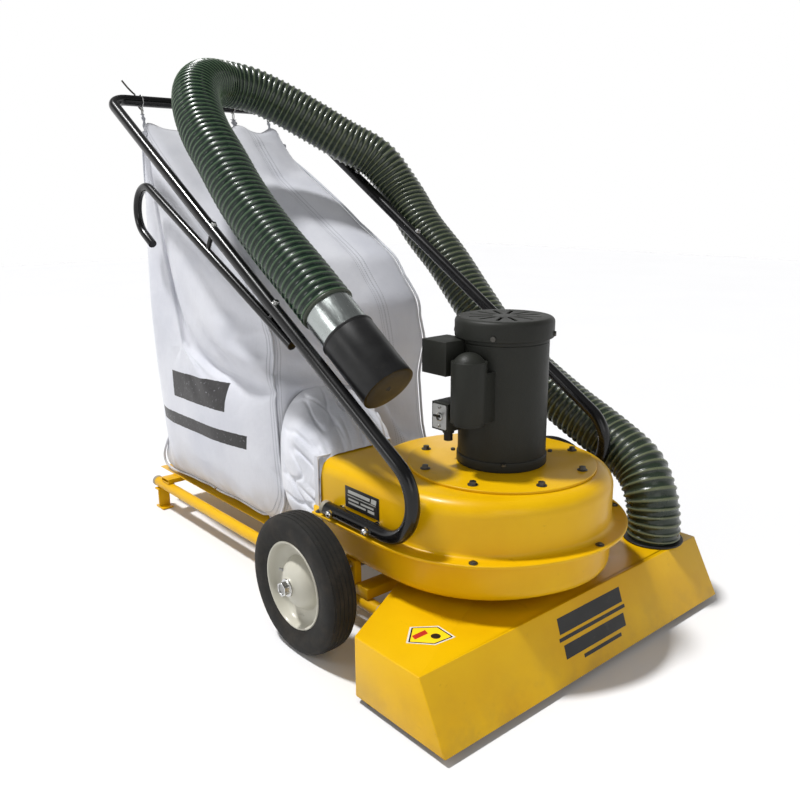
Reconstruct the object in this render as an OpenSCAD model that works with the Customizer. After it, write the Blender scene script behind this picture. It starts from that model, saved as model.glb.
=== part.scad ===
// Walk-behind litter vacuum: floor nozzle, electric blower, filter bag, hand hose.
// Front is -Y, the machine's right-hand side is -X, the floor is z = 0.
// Plan positions below are measured from the motor axis; place() moves the
// finished parts so that the origin lies under the middle of the machine.

/* [Nozzle] */
// Width of the floor nozzle
nozzle_w = 752; // [700:1:800]
// Height of the nozzle's lower edge above the floor
nozzle_gap = 11; // [8:1:14]
// Height of the nozzle's flat top
nozzle_top = 117; // [110:1:120]
// Distance from motor axis to the lower front edge
nozzle_front = 246; // [235:1:255]
// Distance from motor axis to the upper front edge
nozzle_brow = 190; // [180:1:200]
// Sheet thickness of nozzle and blower
sheet = 3; // [2:0.5:4]
// Radius of the blower inlet
inlet_r = 80; // [74:1:82]

/* [Blower] */
// Outer radius of the upper casing
casing_r = 203; // [198:1:206]
// Height of the split flange
flange_z = 218; // [214:1:222]
// Top of the upper casing
casing_top = 312; // [305:1:316]
// Underside of the lower pan
pan_z = 140; // [136:1:144]
// Width of the outlet duct
outlet_w = 170; // [150:1:180]
// How far behind the motor axis the outlet ends
outlet_end = 250; // [245:1:255]

/* [Motor] */
// Radius of the motor frame
motor_r = 80; // [76:1:82]
// Top of the fan cover
motor_top = 583; // [575:1:590]
// Radius of the motor shaft
shaft_r = 8; // [7:0.5:9]

/* [Wheels] */
// Radius of the main wheels
wheel_r = 127; // [120:1:132]
// Distance of the axle behind the motor axis
axle_y = 152; // [150:1:156]
// Centre plane of each wheel
wheel_x = 342; // [338:1:346]
// Tyre width
tyre_w = 58; // [54:1:60]
// Radius of the axle
axle_r = 9.5; // [9:0.5:10]

/* [Frame and handle] */
// Centre plane of the two frame rails
rail_x = 233; // [228:1:236]
// Height of the rail centres
rail_z = 64; // [62:1:66]
// Radius of rail and handle tubes
tube_r = 12.7; // [12:0.1:13]
// Centre plane of the handle tubes
handle_x = 257; // [255:1:260]
// Slope of the handle
handle_tilt = 31.8; // [30:0.1:33]
// Radius of the lower U bend of the handle
bend_r = 72; // [68:1:75]

/* [Bag] */
// Width of the filter bag
bag_w = 404; // [380:2:410]
// Fabric shell thickness
bag_t = 2.5; // [2:0.5:3]

/* [Hose] */
// Radius of the hose over its ribs
hose_r = 53; // [50:1:54]
// Radius of the steel hand tube
wand_r = 48; // [46:0.5:49]

/* [Hidden] */

$fn = 96;
eps = 0.01;

// Machine limits front and back, used to centre the origin
bail_back = 1036;
hanger_wall = 2.5;
front_y = -nozzle_front;
back_y = bail_back + tube_r + hanger_wall;
centre_y = (front_y + back_y) / 2;

// Nozzle plan: square ends, then a taper to the middle at the back
nozzle_back_end = -39;
nozzle_back_taper = [216, 49];
nozzle_back_mid = [120, 94];
port_x = 306;
port_y = -138;
port_r = 46;
roller_r = 12;
roller_w = 20;
roller_x = 358;
roller_y = -62;

// Blower scroll: a second, offset circle widens it towards the outlet
scroll_shift = [-26, 20];
scroll_r = casing_r + 11;
outlet_x = -240;
shoulder_r = 28;
// The flange stops this far to the side of the duct, behind its end
neck_clear = 10;
flange_out = 29;
flange_t = 3;
plate_r = 172;
plate_t = 5;
plate_z = casing_top + plate_t;
bolt_ring_r = 150;
bolt_count = 8;
bolt_start = -21;

// Motor heights
frame_z0 = plate_z + 19;
frame_z1 = 540;
stator_z0 = 372;
stator_z1 = 478;
cover_z0 = 548;
cover_r = 88;
bearing_r = 20;
bearing_w = 12;
impeller_r = 160;
impeller_z0 = 178;
impeller_z1 = 282;
cap_pos = [-103, -15];
cap_r = 31;
cap_z0 = 405;
cap_z1 = 532;

// Handle geometry in the side plane: [y, z]
bend_c = [28, 303.5];
arm_low = bend_c[1] - bend_r;
arm_end_y = 190;
arm_join = 330;
slope = tan(handle_tilt);
function arm_z(y) = bend_c[1] + (y - bend_c[0]) * slope + bend_r / cos(handle_tilt);
bail_corner_r = 42;
hook_r = 9.5;
hook_tilt = 27;
hook_c = [868, 754];
hook_bend_r = 56;
hook_tail = 46;
hook_start_y = 288;
function hook_z(y) = hook_c[1] + (y - hook_c[0]) * tan(hook_tilt) + hook_bend_r / cos(hook_tilt);
bolt_y = [62, 165];
tie_y = [345, 566];

// Frame
rail_y0 = 70;
rail_y1 = 985;
bar_h = 11.3;
platform_z = rail_z + tube_r + bar_h;
bar_y = [440, 930];

// Bag profile in the side plane: [y, z]
bag_z = platform_z + 2;
bag_back = 1020;
bag_front = 388;

// Hose centre line, from the port on the nozzle to the hand tube
hose_route = [[306, -138, 121], [306, -136, 165], [309, -122, 212], [321, -84, 255],
    [325, -10, 294], [326, 90, 338], [326, 190, 390], [326, 300, 456], [330, 400, 546],
    [332, 489, 633], [328, 576, 710], [326, 650, 793], [288, 701, 875],
    [217, 750, 924], [152, 793, 969], [90, 830, 1008], [25, 857, 1037],
    [-48, 862, 1046], [-110, 830, 1040], [-160, 780, 1014], [-195, 716, 970],
    [-215, 648, 916], [-223, 576, 860], [-226, 490, 782], [-223, 400, 710],
    [-218, 310, 646], [-212, 236, 589]];
hand_start = [-212, 236, 589];
hand_end = [-196, 86, 466];
hand_dir = (hand_end - hand_start) / norm(hand_end - hand_start);
hand_show = 65;
cap_len = norm(hand_end - hand_start) - hand_show;

// ---------- helpers ----------

module place() {
    translate([0, -centre_y, 0]) children();
}

// A round bar from point a to point b
module bar(a, b, r) {
    d = b - a;
    len = norm(d);
    translate(a) rotate([0, acos(d[2] / len), atan2(d[1], d[0])]) cylinder(h = len, r = r);
}

// Draws in the side plane: 2-D x becomes machine y, 2-D y becomes machine z
module side_plane(x) {
    translate([x, 0, 0]) rotate([90, 0, 90]) children();
}

// A bar in the side plane with one bend, from angle a0 up to a1, and a
// straight length before and after the bend
module bent_bar(x, c, bend, a0, a1, before, after, r) {
    side_plane(x) translate([c[0], c[1], 0]) rotate([0, 0, a0]) {
        rotate_extrude(angle = a1 - a0) translate([bend, 0]) circle(r = r);
        translate([bend, 0, 0]) rotate([90, 0, 0]) cylinder(h = before, r = r);
        rotate([0, 0, a1 - a0]) translate([bend, 0, 0]) rotate([-90, 0, 0])
            cylinder(h = after, r = r);
    }
}

module mirrored() {
    children();
    mirror([1, 0, 0]) children();
}

// ---------- nozzle ----------

module nozzle_plan(t) {
    e = nozzle_w / 2 - t;
    polygon([[-e, front_y - 5], [e, front_y - 5], [e, nozzle_back_end - t],
        [nozzle_back_taper[0] - t, nozzle_back_taper[1] - t],
        [nozzle_back_mid[0] - t, nozzle_back_mid[1] - t],
        [-nozzle_back_mid[0] + t, nozzle_back_mid[1] - t],
        [-nozzle_back_taper[0] + t, nozzle_back_taper[1] - t],
        [-e, nozzle_back_end - t]]);
}

module nozzle_side(t, drop) {
    rotate([90, 0, 90]) translate([0, 0, -nozzle_w]) linear_extrude(height = 2 * nozzle_w)
        polygon([[front_y + t, nozzle_gap - drop], [-nozzle_brow + t, nozzle_top - t],
            [nozzle_back_mid[1] + 10, nozzle_top - t],
            [nozzle_back_mid[1] + 10, nozzle_gap - drop]]);
}

module nozzle_block(t, drop) {
    intersection() {
        linear_extrude(height = nozzle_top + 20) nozzle_plan(t);
        nozzle_side(t, drop);
    }
}

module nozzle_head() {
    color("gold") place() difference() {
        nozzle_block(0, 0);
        translate([0, 0, -eps]) nozzle_block(sheet, 2);
        cylinder(h = 200, r = inlet_r);
        translate([port_x, port_y, 0]) cylinder(h = 200, r = port_r);
    }
}

module nozzle_inlet_ring() {
    ring_h = pan_z - nozzle_top;
    color("goldenrod") place() translate([0, 0, nozzle_top]) difference() {
        union() {
            cylinder(h = ring_h, r = inlet_r + 3);
            cylinder(h = 3, r = inlet_r + 10);
            translate([0, 0, ring_h - 3]) cylinder(h = 3, r = inlet_r + 10);
        }
        translate([0, 0, -1]) cylinder(h = ring_h + 2, r = inlet_r);
    }
}

module hose_port_collar() {
    color("darkslategray") place() translate([port_x, port_y, nozzle_top]) difference() {
        union() {
            cylinder(h = 4, r = hose_r + 5);
            translate([0, 0, -15]) cylinder(h = 16, r = port_r - 0.2);
        }
        translate([0, 0, -20]) cylinder(h = 40, r = port_r - 3);
    }
}

module roller_brackets() {
    inner = nozzle_w / 2 - sheet;
    color("dimgray") place() mirrored() {
        difference() {
            translate([roller_x - 15, roller_y - 14, 4]) cube([3, 28, 58]);
            translate([roller_x - 20, roller_y, roller_r]) rotate([0, 90, 0])
                cylinder(h = 40, r = 4.05);
        }
        translate([roller_x - 15, roller_y - 14, 59]) cube([inner - roller_x + 15, 28, 3]);
        translate([roller_x - 15, roller_y, roller_r]) rotate([0, 90, 0])
            cylinder(h = inner - roller_x + 15, r = 4);
    }
}

module roller(side) {
    color("#222222") place() translate([side * roller_x - roller_w / 2, roller_y, roller_r])
        rotate([0, 90, 0]) difference() {
            cylinder(h = roller_w, r = roller_r);
            translate([0, 0, -1]) cylinder(h = roller_w + 2, r = 4.08);
        }
}

module roller_left() { roller(1); }
module roller_right() { roller(-1); }

// ---------- blower ----------

// Half section of a drum whose upper edge is rounded
module drum_half(r, z0, z1, round_r) {
    translate([0, z0]) square([r - round_r, z1 - z0]);
    translate([0, z0]) square([r, z1 - z0 - round_r]);
    translate([r - round_r, z1 - round_r]) circle(r = round_r);
}

module duct_section(t, z0, z1, round_r) {
    x0 = outlet_x + t;
    w = outlet_w - 2 * t;
    translate([x0, z0]) square([w, z1 - z0 - round_r]);
    translate([x0 + round_r, z0]) square([w - 2 * round_r, z1 - z0]);
    translate([x0 + round_r, z1 - round_r]) circle(r = round_r);
    translate([x0 + w - round_r, z1 - round_r]) circle(r = round_r);
}

// Scroll body with outlet duct, drawn smaller by t for the cavity
module scroll(t, z0, z1, round_r, duct_to) {
    rotate_extrude() drum_half(casing_r - t, z0, z1, round_r);
    translate(scroll_shift) rotate_extrude() drum_half(scroll_r - t, z0, z1, round_r);
    translate([0, duct_to, 0]) rotate([90, 0, 0]) linear_extrude(height = duct_to - scroll_shift[1])
        duct_section(t, z0, z1, round_r);
}

module scroll_plate(grow, z0, h, duct_to) {
    translate([0, 0, z0]) {
        cylinder(h = h, r = casing_r + grow);
        difference() {
            translate(scroll_shift) cylinder(h = h, r = scroll_r + grow);
            if (grow > 0) translate([outlet_x - 60, duct_to, -1])
                cube([outlet_w + 60 + neck_clear, 100, h + 2]);
        }
        translate([outlet_x - grow, scroll_shift[1], 0])
            cube([outlet_w + 2 * grow, duct_to - scroll_shift[1], h]);
    }
}

module handle_bolt_holes() {
    for (y = bolt_y) translate([-handle_x - 40, y, arm_low]) rotate([0, 90, 0])
        cylinder(h = 80, r = 4.2);
}

module upper_casing() {
    color("gold") place() difference() {
        union() {
            scroll(0, flange_z - flange_t, casing_top, shoulder_r, outlet_end);
            scroll_plate(flange_out, flange_z - flange_t, flange_t, outlet_end - 24);
        }
        scroll(sheet, flange_z - flange_t - 1, casing_top - sheet, shoulder_r - sheet,
            outlet_end + 1);
        translate([0, 0, casing_top - 10]) cylinder(h = 20, r = 60);
        handle_bolt_holes();
    }
}

module lower_pan() {
    top = flange_z - flange_t;
    color("goldenrod") place() difference() {
        union() {
            scroll_plate(0, pan_z, top - pan_z, outlet_end);
            scroll_plate(flange_out - 4, top - flange_t, flange_t, outlet_end - 24);
        }
        scroll_plate(-sheet, pan_z + sheet, top, outlet_end + 1 + sheet);
        cylinder(h = 300, r = inlet_r);
    }
}

module motor_plate() {
    color("gold") place() translate([0, 0, casing_top]) difference() {
        cylinder(h = plate_t, r = plate_r);
        translate([0, 0, -1]) cylinder(h = plate_t + 2, r = 14);
    }
}

module hex_head(r, h) {
    cylinder(h = h, r = r, $fn = 6);
    cylinder(h = 1.5, r = r + 3);
}

// Eight bolts hold the motor plate, six screws close the split flange
module casing_screws() {
    color("#555555") place() {
        for (i = [0 : bolt_count - 1])
            rotate([0, 0, bolt_start + i * 360 / bolt_count])
                translate([bolt_ring_r, 0, plate_z]) hex_head(6, 7);
        for (a = [-88, -36, 4])
            rotate([0, 0, a]) translate([casing_r + 16, 0, flange_z]) hex_head(4.5, 4);
        for (a = [-140, 68]) translate(scroll_shift)
            rotate([0, 0, a]) translate([scroll_r + 16, 0, flange_z]) hex_head(4.5, 4);
        translate([outlet_x - 19, 215, flange_z]) hex_head(4.5, 4);
    }
}

module nameplate() {
    color("#222222") place() translate([outlet_x - 1, 62, 242]) cube([1, 96, 40]);
}

module impeller() {
    color("#8a8d90") place() {
        difference() {
            union() {
                translate([0, 0, impeller_z1]) cylinder(h = 3, r = impeller_r);
                translate([0, 0, impeller_z0]) cylinder(h = impeller_z1 - impeller_z0 + 1, r = 22);
                for (i = [0 : 7]) rotate([0, 0, i * 45]) translate([18, -1.5, impeller_z0])
                    cube([impeller_r - 20, 3, impeller_z1 - impeller_z0 + 1]);
            }
            cylinder(h = 400, r = shaft_r);
        }
    }
}

// ---------- motor ----------

module motor_shaft() {
    color("silver") place() translate([0, 0, impeller_z0]) cylinder(h = 568 - impeller_z0, r = shaft_r);
}

module drive_end_bell() {
    color("#44464a") place() difference() {
        translate([0, 0, plate_z]) cylinder(h = frame_z0 - plate_z, r = motor_r + 2);
        translate([0, 0, plate_z + 8]) cylinder(h = 40, r = motor_r - 10);
        cylinder(h = 600, r = shaft_r + 2);
    }
}

module motor_frame() {
    color("#3b3d3c") place() difference() {
        translate([0, 0, frame_z0]) cylinder(h = frame_z1 - frame_z0, r = motor_r);
        cylinder(h = 600, r = motor_r - 3.5);
    }
}

module fan_end_bell() {
    color("#44464a") place() difference() {
        translate([0, 0, frame_z1]) cylinder(h = 14, r = motor_r);
        translate([0, 0, frame_z1 - 5]) cylinder(h = 5 + bearing_w - 2, r = bearing_r + 8);
        cylinder(h = 600, r = shaft_r + 1);
    }
}

// The drive-end bearing stands on the bell's floor, the other hangs in the top bell
module motor_bearings() {
    color("silver") place() for (z = [plate_z + 8, frame_z1 - 2])
        translate([0, 0, z]) difference() {
            cylinder(h = bearing_w, r = z > 400 ? bearing_r + 8 : bearing_r);
            translate([0, 0, -1]) cylinder(h = bearing_w + 2, r = shaft_r + 0.05);
        }
}

module stator_core() {
    color("#6d7072") place() difference() {
        translate([0, 0, stator_z0]) cylinder(h = stator_z1 - stator_z0, r = motor_r - 3.5);
        cylinder(h = 600, r = 45);
    }
}

module stator_windings() {
    color("#b5651d") place() for (z = [stator_z0 - 22, stator_z1])
        translate([0, 0, z]) difference() {
            cylinder(h = 22, r = 72);
            translate([0, 0, -1]) cylinder(h = 24, r = 49);
        }
}

module rotor_core() {
    color("#7c8083") place() translate([0, 0, stator_z0]) difference() {
        cylinder(h = stator_z1 - stator_z0, r = 44.4);
        translate([0, 0, -1]) cylinder(h = 200, r = shaft_r);
    }
}

module cooling_fan() {
    fan_z = 556;
    color("#333333") place() difference() {
        union() {
            translate([0, 0, fan_z]) cylinder(h = 2, r = 66);
            translate([0, 0, fan_z]) cylinder(h = 12, r = 16);
            for (i = [0 : 8]) rotate([0, 0, i * 40]) translate([14, -1, fan_z]) cube([50, 2, 12]);
        }
        cylinder(h = 700, r = shaft_r);
    }
}

module fan_cover() {
    color("#3b3d3c") place() difference() {
        rotate_extrude() drum_half(cover_r, cover_z0, motor_top, 9);
        rotate_extrude() drum_half(cover_r - 2.5, cover_z0 - 1, motor_top - 3, 7);
        for (i = [0 : 11]) rotate([0, 0, i * 30]) translate([22, -3, motor_top - 10]) cube([42, 6, 20]);
    }
}

module fan_cover_screws() {
    color("#222222") place() for (a = [-60, 30, 120, 210])
        rotate([0, 0, a]) translate([cover_r, 0, cover_z0 + 7]) rotate([0, 90, 0])
            cylinder(h = 3, r = 4.5);
}

module capsule(r, z0, z1) {
    translate([0, 0, z0 + 6]) cylinder(h = z1 - z0 - 6 - r * 0.5, r = r);
    translate([0, 0, z0]) cylinder(h = 7, r = r - 5);
    translate([0, 0, z1 - r]) sphere(r = r);
}

module capacitor_cover() {
    color("#3b3d3c") place() difference() {
        union() {
            translate([cap_pos[0], cap_pos[1], 0]) capsule(cap_r, cap_z0, cap_z1);
            translate([cap_pos[0], cap_pos[1] - cap_r + 3, cap_z0 + 6])
                cube([40, 2 * cap_r - 6, cap_z1 - cap_z0 - 40]);
        }
        cylinder(h = 700, r = motor_r + 0.05);
        translate([cap_pos[0], cap_pos[1], cap_z0 + 5]) cylinder(h = cap_z1 - cap_z0 - 34, r = cap_r - 3);
    }
}

module capacitor() {
    color("#1f3f6f") place() translate([cap_pos[0] - 3, cap_pos[1], cap_z0 + 5])
        cylinder(h = 88, r = 21);
}

module conduit_box() {
    color("#3b3d3c") place() difference() {
        translate([-122, 22, 486]) cube([62, 58, 60]);
        translate([-119, 25, 489]) cube([56, 52, 54]);
        translate([-119, 24, 489]) cube([56, 80, 54]);
        cylinder(h = 700, r = motor_r + 0.05);
    }
}

module conduit_lid() {
    color("#33363a") place() translate([-122, 80, 486]) cube([62, 3, 60]);
}

module switch_body() {
    color("#3b3d3c") place() difference() {
        translate([-116, 22, 386]) cube([50, 40, 50]);
        cylinder(h = 700, r = motor_r + 0.05);
        translate([-110, 42, 411]) rotate([0, 90, 0]) translate([0, 0, -20]) cylinder(h = 30, r = 5.5);
    }
}

module switch_toggle() {
    color("#111111") place() translate([-116, 42, 411]) {
        rotate([90, 0, 0]) translate([0, 0, -4]) cylinder(h = 8, r = 2.5);
        translate([0, 0, 0]) rotate([0, -70, 0]) cylinder(h = 16, r = 2.2);
    }
}

module cord_gland() {
    color("#111111") place() translate([-95, 42, 364]) difference() {
        union() {
            translate([0, 0, 14]) cylinder(h = 8, r = 11, $fn = 6);
            cylinder(h = 15, r = 8);
        }
        translate([0, 0, -1]) cylinder(h = 15, r = 4.2);
    }
}

// ---------- wheels and frame ----------

axle_half = 388;

module axle() {
    color("silver") place() translate([-axle_half + 2, axle_y, wheel_r]) rotate([0, 90, 0])
        cylinder(h = 2 * axle_half - 4, r = axle_r);
}

module axle_brackets() {
    color("gold") place() mirrored() difference() {
        translate([rail_x - 8, axle_y - 18, rail_z]) cube([16, 36, wheel_r + 12.4 - rail_z]);
        bar([rail_x, 0, rail_z], [rail_x, 400, rail_z], tube_r);
        translate([0, axle_y, wheel_r]) rotate([0, 90, 0]) cylinder(h = 400, r = axle_r);
    }
}

module at_wheel(side) {
    place() translate([side * wheel_x, axle_y, wheel_r]) rotate([0, side * 90, 0]) children();
}

module tyre(side) {
    half = tyre_w / 2;
    color("#2b2b2b") at_wheel(side) rotate_extrude() difference() {
        union() {
            translate([76, -half + 6]) square([wheel_r - 96, tyre_w - 12]);
            translate([90, -half]) square([17, tyre_w]);
            translate([76, -half + 20]) square([wheel_r - 76, tyre_w - 40]);
            translate([wheel_r - 20, -half + 20]) circle(r = 20);
            translate([wheel_r - 20, half - 20]) circle(r = 20);
        }
        translate([0, -50]) square([76, 100]);
    }
}

module rim(side) {
    color("ivory") at_wheel(side) rotate_extrude() difference() {
        union() {
            translate([70, -22]) square([6, 44]);
            translate([16, -3]) square([56, 3]);
            translate([16, 0]) square([26, 12]);
        }
        translate([20, -1]) square([18, 9]);
    }
}

module hub(side) {
    color("ivory") at_wheel(side) rotate_extrude() translate([axle_r + 0.08, -33])
        square([16 - axle_r - 0.08, 66]);
}

module tyre_left() { tyre(1); }
module tyre_right() { tyre(-1); }
module rim_left() { rim(1); }
module rim_right() { rim(-1); }
module hub_left() { hub(1); }
module hub_right() { hub(-1); }

module axle_nuts() {
    hub_face = wheel_x + 33;
    color("silver") place() mirrored() translate([0, axle_y, wheel_r]) rotate([0, 90, 0]) {
        difference() {
            union() {
                translate([0, 0, hub_face + 0.3]) cylinder(h = 2.5, r = 16);
                translate([0, 0, hub_face + 2.8]) cylinder(h = 10.2, r = 13.5, $fn = 6);
            }
            cylinder(h = 400, r = axle_r);
        }
        difference() {
            translate([0, 0, rail_x + 8]) cylinder(h = wheel_x - 33 - 0.3 - rail_x - 8, r = 14);
            cylinder(h = 400, r = axle_r);
        }
    }
}

module rail(side) {
    color("gold") place() difference() {
        bar([side * rail_x, rail_y0, rail_z], [side * rail_x, rail_y1, rail_z], tube_r);
        bar([side * rail_x, rail_y0 - 1, rail_z], [side * rail_x, rail_y1 + 1, rail_z], tube_r - 2);
    }
}

module rail_left() { rail(1); }
module rail_right() { rail(-1); }

module tube_plug(r) {
    translate([0, 0, -12]) cylinder(h = 13, r = r - 2);
    cylinder(h = 10, r = r + 0.6);
}

// Plastic plugs in the four rail ends and in the two open handle ends
module tube_plugs() {
    color("gray") place() mirrored() {
        translate([rail_x, rail_y1, rail_z]) rotate([-90, 0, 0]) tube_plug(tube_r);
        translate([rail_x, rail_y0, rail_z]) rotate([90, 0, 0]) tube_plug(tube_r);
        translate([handle_x, arm_end_y, arm_low]) rotate([-90, 0, 0]) tube_plug(tube_r);
    }
}

module cross_bars() {
    color("#5a4a20") place() for (y = bar_y)
        translate([-rail_x - 8, y - 19, rail_z + tube_r]) difference() {
            cube([2 * rail_x + 16, 38, bar_h]);
            translate([-1, 2, 2]) cube([2 * rail_x + 18, 34, bar_h - 4]);
        }
}

module blower_posts() {
    color("goldenrod") place() {
        translate([-rail_x - 8, 97, rail_z + tube_r]) cube([2 * rail_x + 16, 36, 20]);
        for (x = [-130, 130])
            translate([x - 20, 97, rail_z + tube_r + 20])
                cube([40, 36, pan_z - rail_z - tube_r - 20]);
    }
}

module bag_platform() {
    color("gold") place() difference() {
        translate([-208, 400, platform_z]) cube([416, 624, 2]);
        for (x = [-120, 0, 120]) for (y = [520, 700, 860])
            translate([x, y, platform_z - 1]) cylinder(h = 4, r = 14);
    }
}

module rear_feet() {
    color("gold") place() mirrored() translate([rail_x - 15, 0, 0]) {
        translate([0, 940, 0]) cube([30, 40, 4]);
        translate([0, 960, 0]) cube([30, 4, rail_z - tube_r]);
        translate([0, 960, rail_z - tube_r - 4]) cube([30, 22, 4]);
    }
}

// ---------- handle ----------

// The straight length that leaves a bend at angle a; turn is 1 to go on
// with the growing angle and -1 to go the other way
module side_tail(x, c, bend, a, turn, len, r) {
    side_plane(x) translate([c[0], c[1], 0]) rotate([0, 0, a]) translate([bend, 0, 0])
        rotate([-90 * turn, 0, 0]) cylinder(h = len, r = r);
}

// The lower length is a hair thinner than the bend, so that their walls never coincide
seam_step = 0.03;

module arm_solid(side, r, extra) {
    x = side * handle_x;
    up_len = (arm_join - bend_c[0]) / cos(handle_tilt) + bend_r * tan(handle_tilt);
    side_plane(x) translate([bend_c[0], bend_c[1], 0]) rotate([0, 0, 90 + handle_tilt])
        rotate_extrude(angle = 180 - handle_tilt) translate([bend_r, 0]) circle(r = r);
    side_tail(x, bend_c, bend_r, 270, 1, arm_end_y - bend_c[0] + extra, r - seam_step);
    side_tail(x, bend_c, bend_r, 90 + handle_tilt, -1, up_len + extra, r);
}

module handle_arm(side) {
    color("#151515") place() difference() {
        arm_solid(side, tube_r, 0);
        arm_solid(side, tube_r - 2, 1);
        for (y = bolt_y) translate([side * handle_x - 30, y, arm_low]) rotate([0, 90, 0])
            cylinder(h = 60, r = 4.2);
    }
}

module handle_arm_left() { handle_arm(1); }
module handle_arm_right() { handle_arm(-1); }

// Left-hand arm stands clear of the round casing and needs a bracket on the flange
module handle_bracket() {
    face = handle_x - tube_r - 4;
    color("gold") place() difference() {
        union() {
            translate([face, 36, flange_z]) cube([4, 150, 30]);
            translate([208, 36, flange_z]) cube([face - 206, 52, 4]);
        }
        for (y = bolt_y) translate([face - 5, y, arm_low]) rotate([0, 90, 0])
            cylinder(h = 20, r = 4.2);
    }
}

module handle_bolt(inner) {
    translate([0, 0, inner - 8]) cylinder(h = handle_x + tube_r + 3 - inner + 8, r = 4);
    translate([0, 0, handle_x + tube_r]) cylinder(h = 5, r = 8, $fn = 6);
    translate([0, 0, handle_x + tube_r + 4]) sphere(r = 5.5);
    translate([0, 0, inner - 7]) cylinder(h = 7, r = 8, $fn = 6);
}

module handle_bolts() {
    wall = -outlet_x;
    color("silver") place() for (y = bolt_y) {
        mirror([1, 0, 0]) translate([0, y, arm_low]) rotate([0, 90, 0]) {
            handle_bolt(wall - sheet);
            difference() {
                translate([0, 0, wall]) cylinder(h = handle_x - tube_r - wall, r = 10);
                cylinder(h = 300, r = 3.9);
            }
        }
        translate([0, y, arm_low]) rotate([0, 90, 0]) handle_bolt(handle_x - tube_r - 4);
    }
}

// The bail is drawn in its own sloping plane; v is the distance up the slope
bail_v1 = (bail_back - arm_join) / cos(handle_tilt);

module bail_solid(r) {
    v = bail_v1 - bail_corner_r;
    for (s = [-1, 1]) {
        bar([s * handle_x, 0, 0], [s * handle_x, v, 0], r);
        translate([s * (handle_x - bail_corner_r), v, 0]) rotate([0, 0, s > 0 ? 0 : 90])
            rotate_extrude(angle = 90) translate([bail_corner_r, 0]) circle(r = r);
    }
    bar([-handle_x + bail_corner_r, bail_v1, 0], [handle_x - bail_corner_r, bail_v1, 0], r);
}

module bail() {
    color("#151515") place() translate([0, arm_join, arm_z(arm_join)]) rotate([handle_tilt, 0, 0])
        difference() {
            bail_solid(tube_r);
            bail_solid(tube_r - 2);
            for (s = [-1, 1]) bar([s * handle_x, -1, 0], [s * handle_x, 1, 0], tube_r - 2);
        }
}

// Spacer between the handle tube and the hook rod below it
module hook_tie(x, y) {
    rise = arm_z(y) - hook_z(y);
    reach = rise / (cos(handle_tilt) + sin(handle_tilt) * tan(hook_tilt));
    translate([x, y, arm_z(y)]) rotate([handle_tilt, 0, 0]) translate([0, 0, hook_r + 0.5 - reach])
        cylinder(h = reach - tube_r - hook_r - 0.5, r = 5);
}

// One open hook: a straight rod, a half-round bend and a short tail
module hook_rod() {
    reach = (hook_c[0] - hook_start_y) / cos(hook_tilt) - hook_bend_r * tan(hook_tilt);
    color("#151515") place()
        bent_bar(-handle_x, hook_c, hook_bend_r, -60, 90 + hook_tilt, hook_tail, reach, hook_r);
}

module hook_ties() {
    color("#151515") place() for (y = tie_y) hook_tie(-handle_x, y);
}

// ---------- bag ----------

// Rounded corner post lying across the bag, grown or shrunk by t
module bag_post(y, z, half_w, r, t) {
    translate([-half_w + t + r, y, z]) sphere(r = r, $fn = 24);
    translate([half_w - t - r, y, z]) sphere(r = r, $fn = 24);
}

module bag_body(t) {
    h = bag_w / 2;
    r = 24;
    hull() {
        bag_post(bag_back - r - t, bag_z + r + t, h, r, t);
        bag_post(bag_front + r + t + 70, bag_z + r + t, h, r, t);
        bag_post(bag_front + r + t, bag_z + 60 + t, h - 50, r, t);
        bag_post(bag_front + r + t, 470 - t, h - 30, r, t);
        bag_post(505 + t, 610 - t, h, r, t);
        bag_post(bag_back - r - t, 930 - t, h, r, t);
    }
}

// Neck from the outlet duct into the body
module bag_neck(t) {
    x0 = outlet_x - 0.5 - bag_t + t;
    w = outlet_w + 1 + 2 * bag_t - 2 * t;
    z0 = pan_z - 0.5 - bag_t + t;
    z1 = casing_top + 0.5 + bag_t - t;
    hull() {
        translate([x0, outlet_end + 4, z0]) cube([w, 4, z1 - z0]);
        bag_post(bag_front + 40, bag_z + 50, 150, 24, t);
        bag_post(bag_front + 40, 380, 150, 24, t);
    }
    translate([x0, outlet_end - 20, z0]) cube([w, 26, z1 - z0]);
}

module filter_bag() {
    color("whitesmoke") place() difference() {
        union() {
            bag_body(0);
            bag_neck(0);
        }
        bag_body(bag_t);
        bag_neck(bag_t);
        translate([outlet_x - 0.5, outlet_end - 25, pan_z - 0.5])
            cube([outlet_w + 1, 40, casing_top - pan_z + 1]);
    }
}

module bag_neck_strap() {
    g = bag_t + 0.5;
    x0 = outlet_x - g;
    w = outlet_w + 2 * g;
    z0 = pan_z - g;
    h = casing_top - pan_z + 2 * g;
    color("#888888") place() translate([0, outlet_end - 14, 0]) difference() {
        translate([x0 - 2, 0, z0 - 2]) cube([w + 4, 12, h + 4]);
        translate([x0, -1, z0]) cube([w, 14, h]);
    }
}

hanger_x = [-190, 72, 190];

module bag_hangers() {
    y = bail_back;
    z = arm_z(bail_back);
    color("#666666") place() for (x = hanger_x) {
        translate([x, y, z]) rotate([0, 90, 0]) difference() {
            cylinder(h = 10, r = tube_r + hanger_wall);
            translate([0, 0, -1]) cylinder(h = 12, r = tube_r + 0.2);
        }
        bar([x + 5, y - 2, z - tube_r - 3.2], [x + 5, bag_back - 18, 957], 2.5);
    }
}

// ---------- hose ----------

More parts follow.
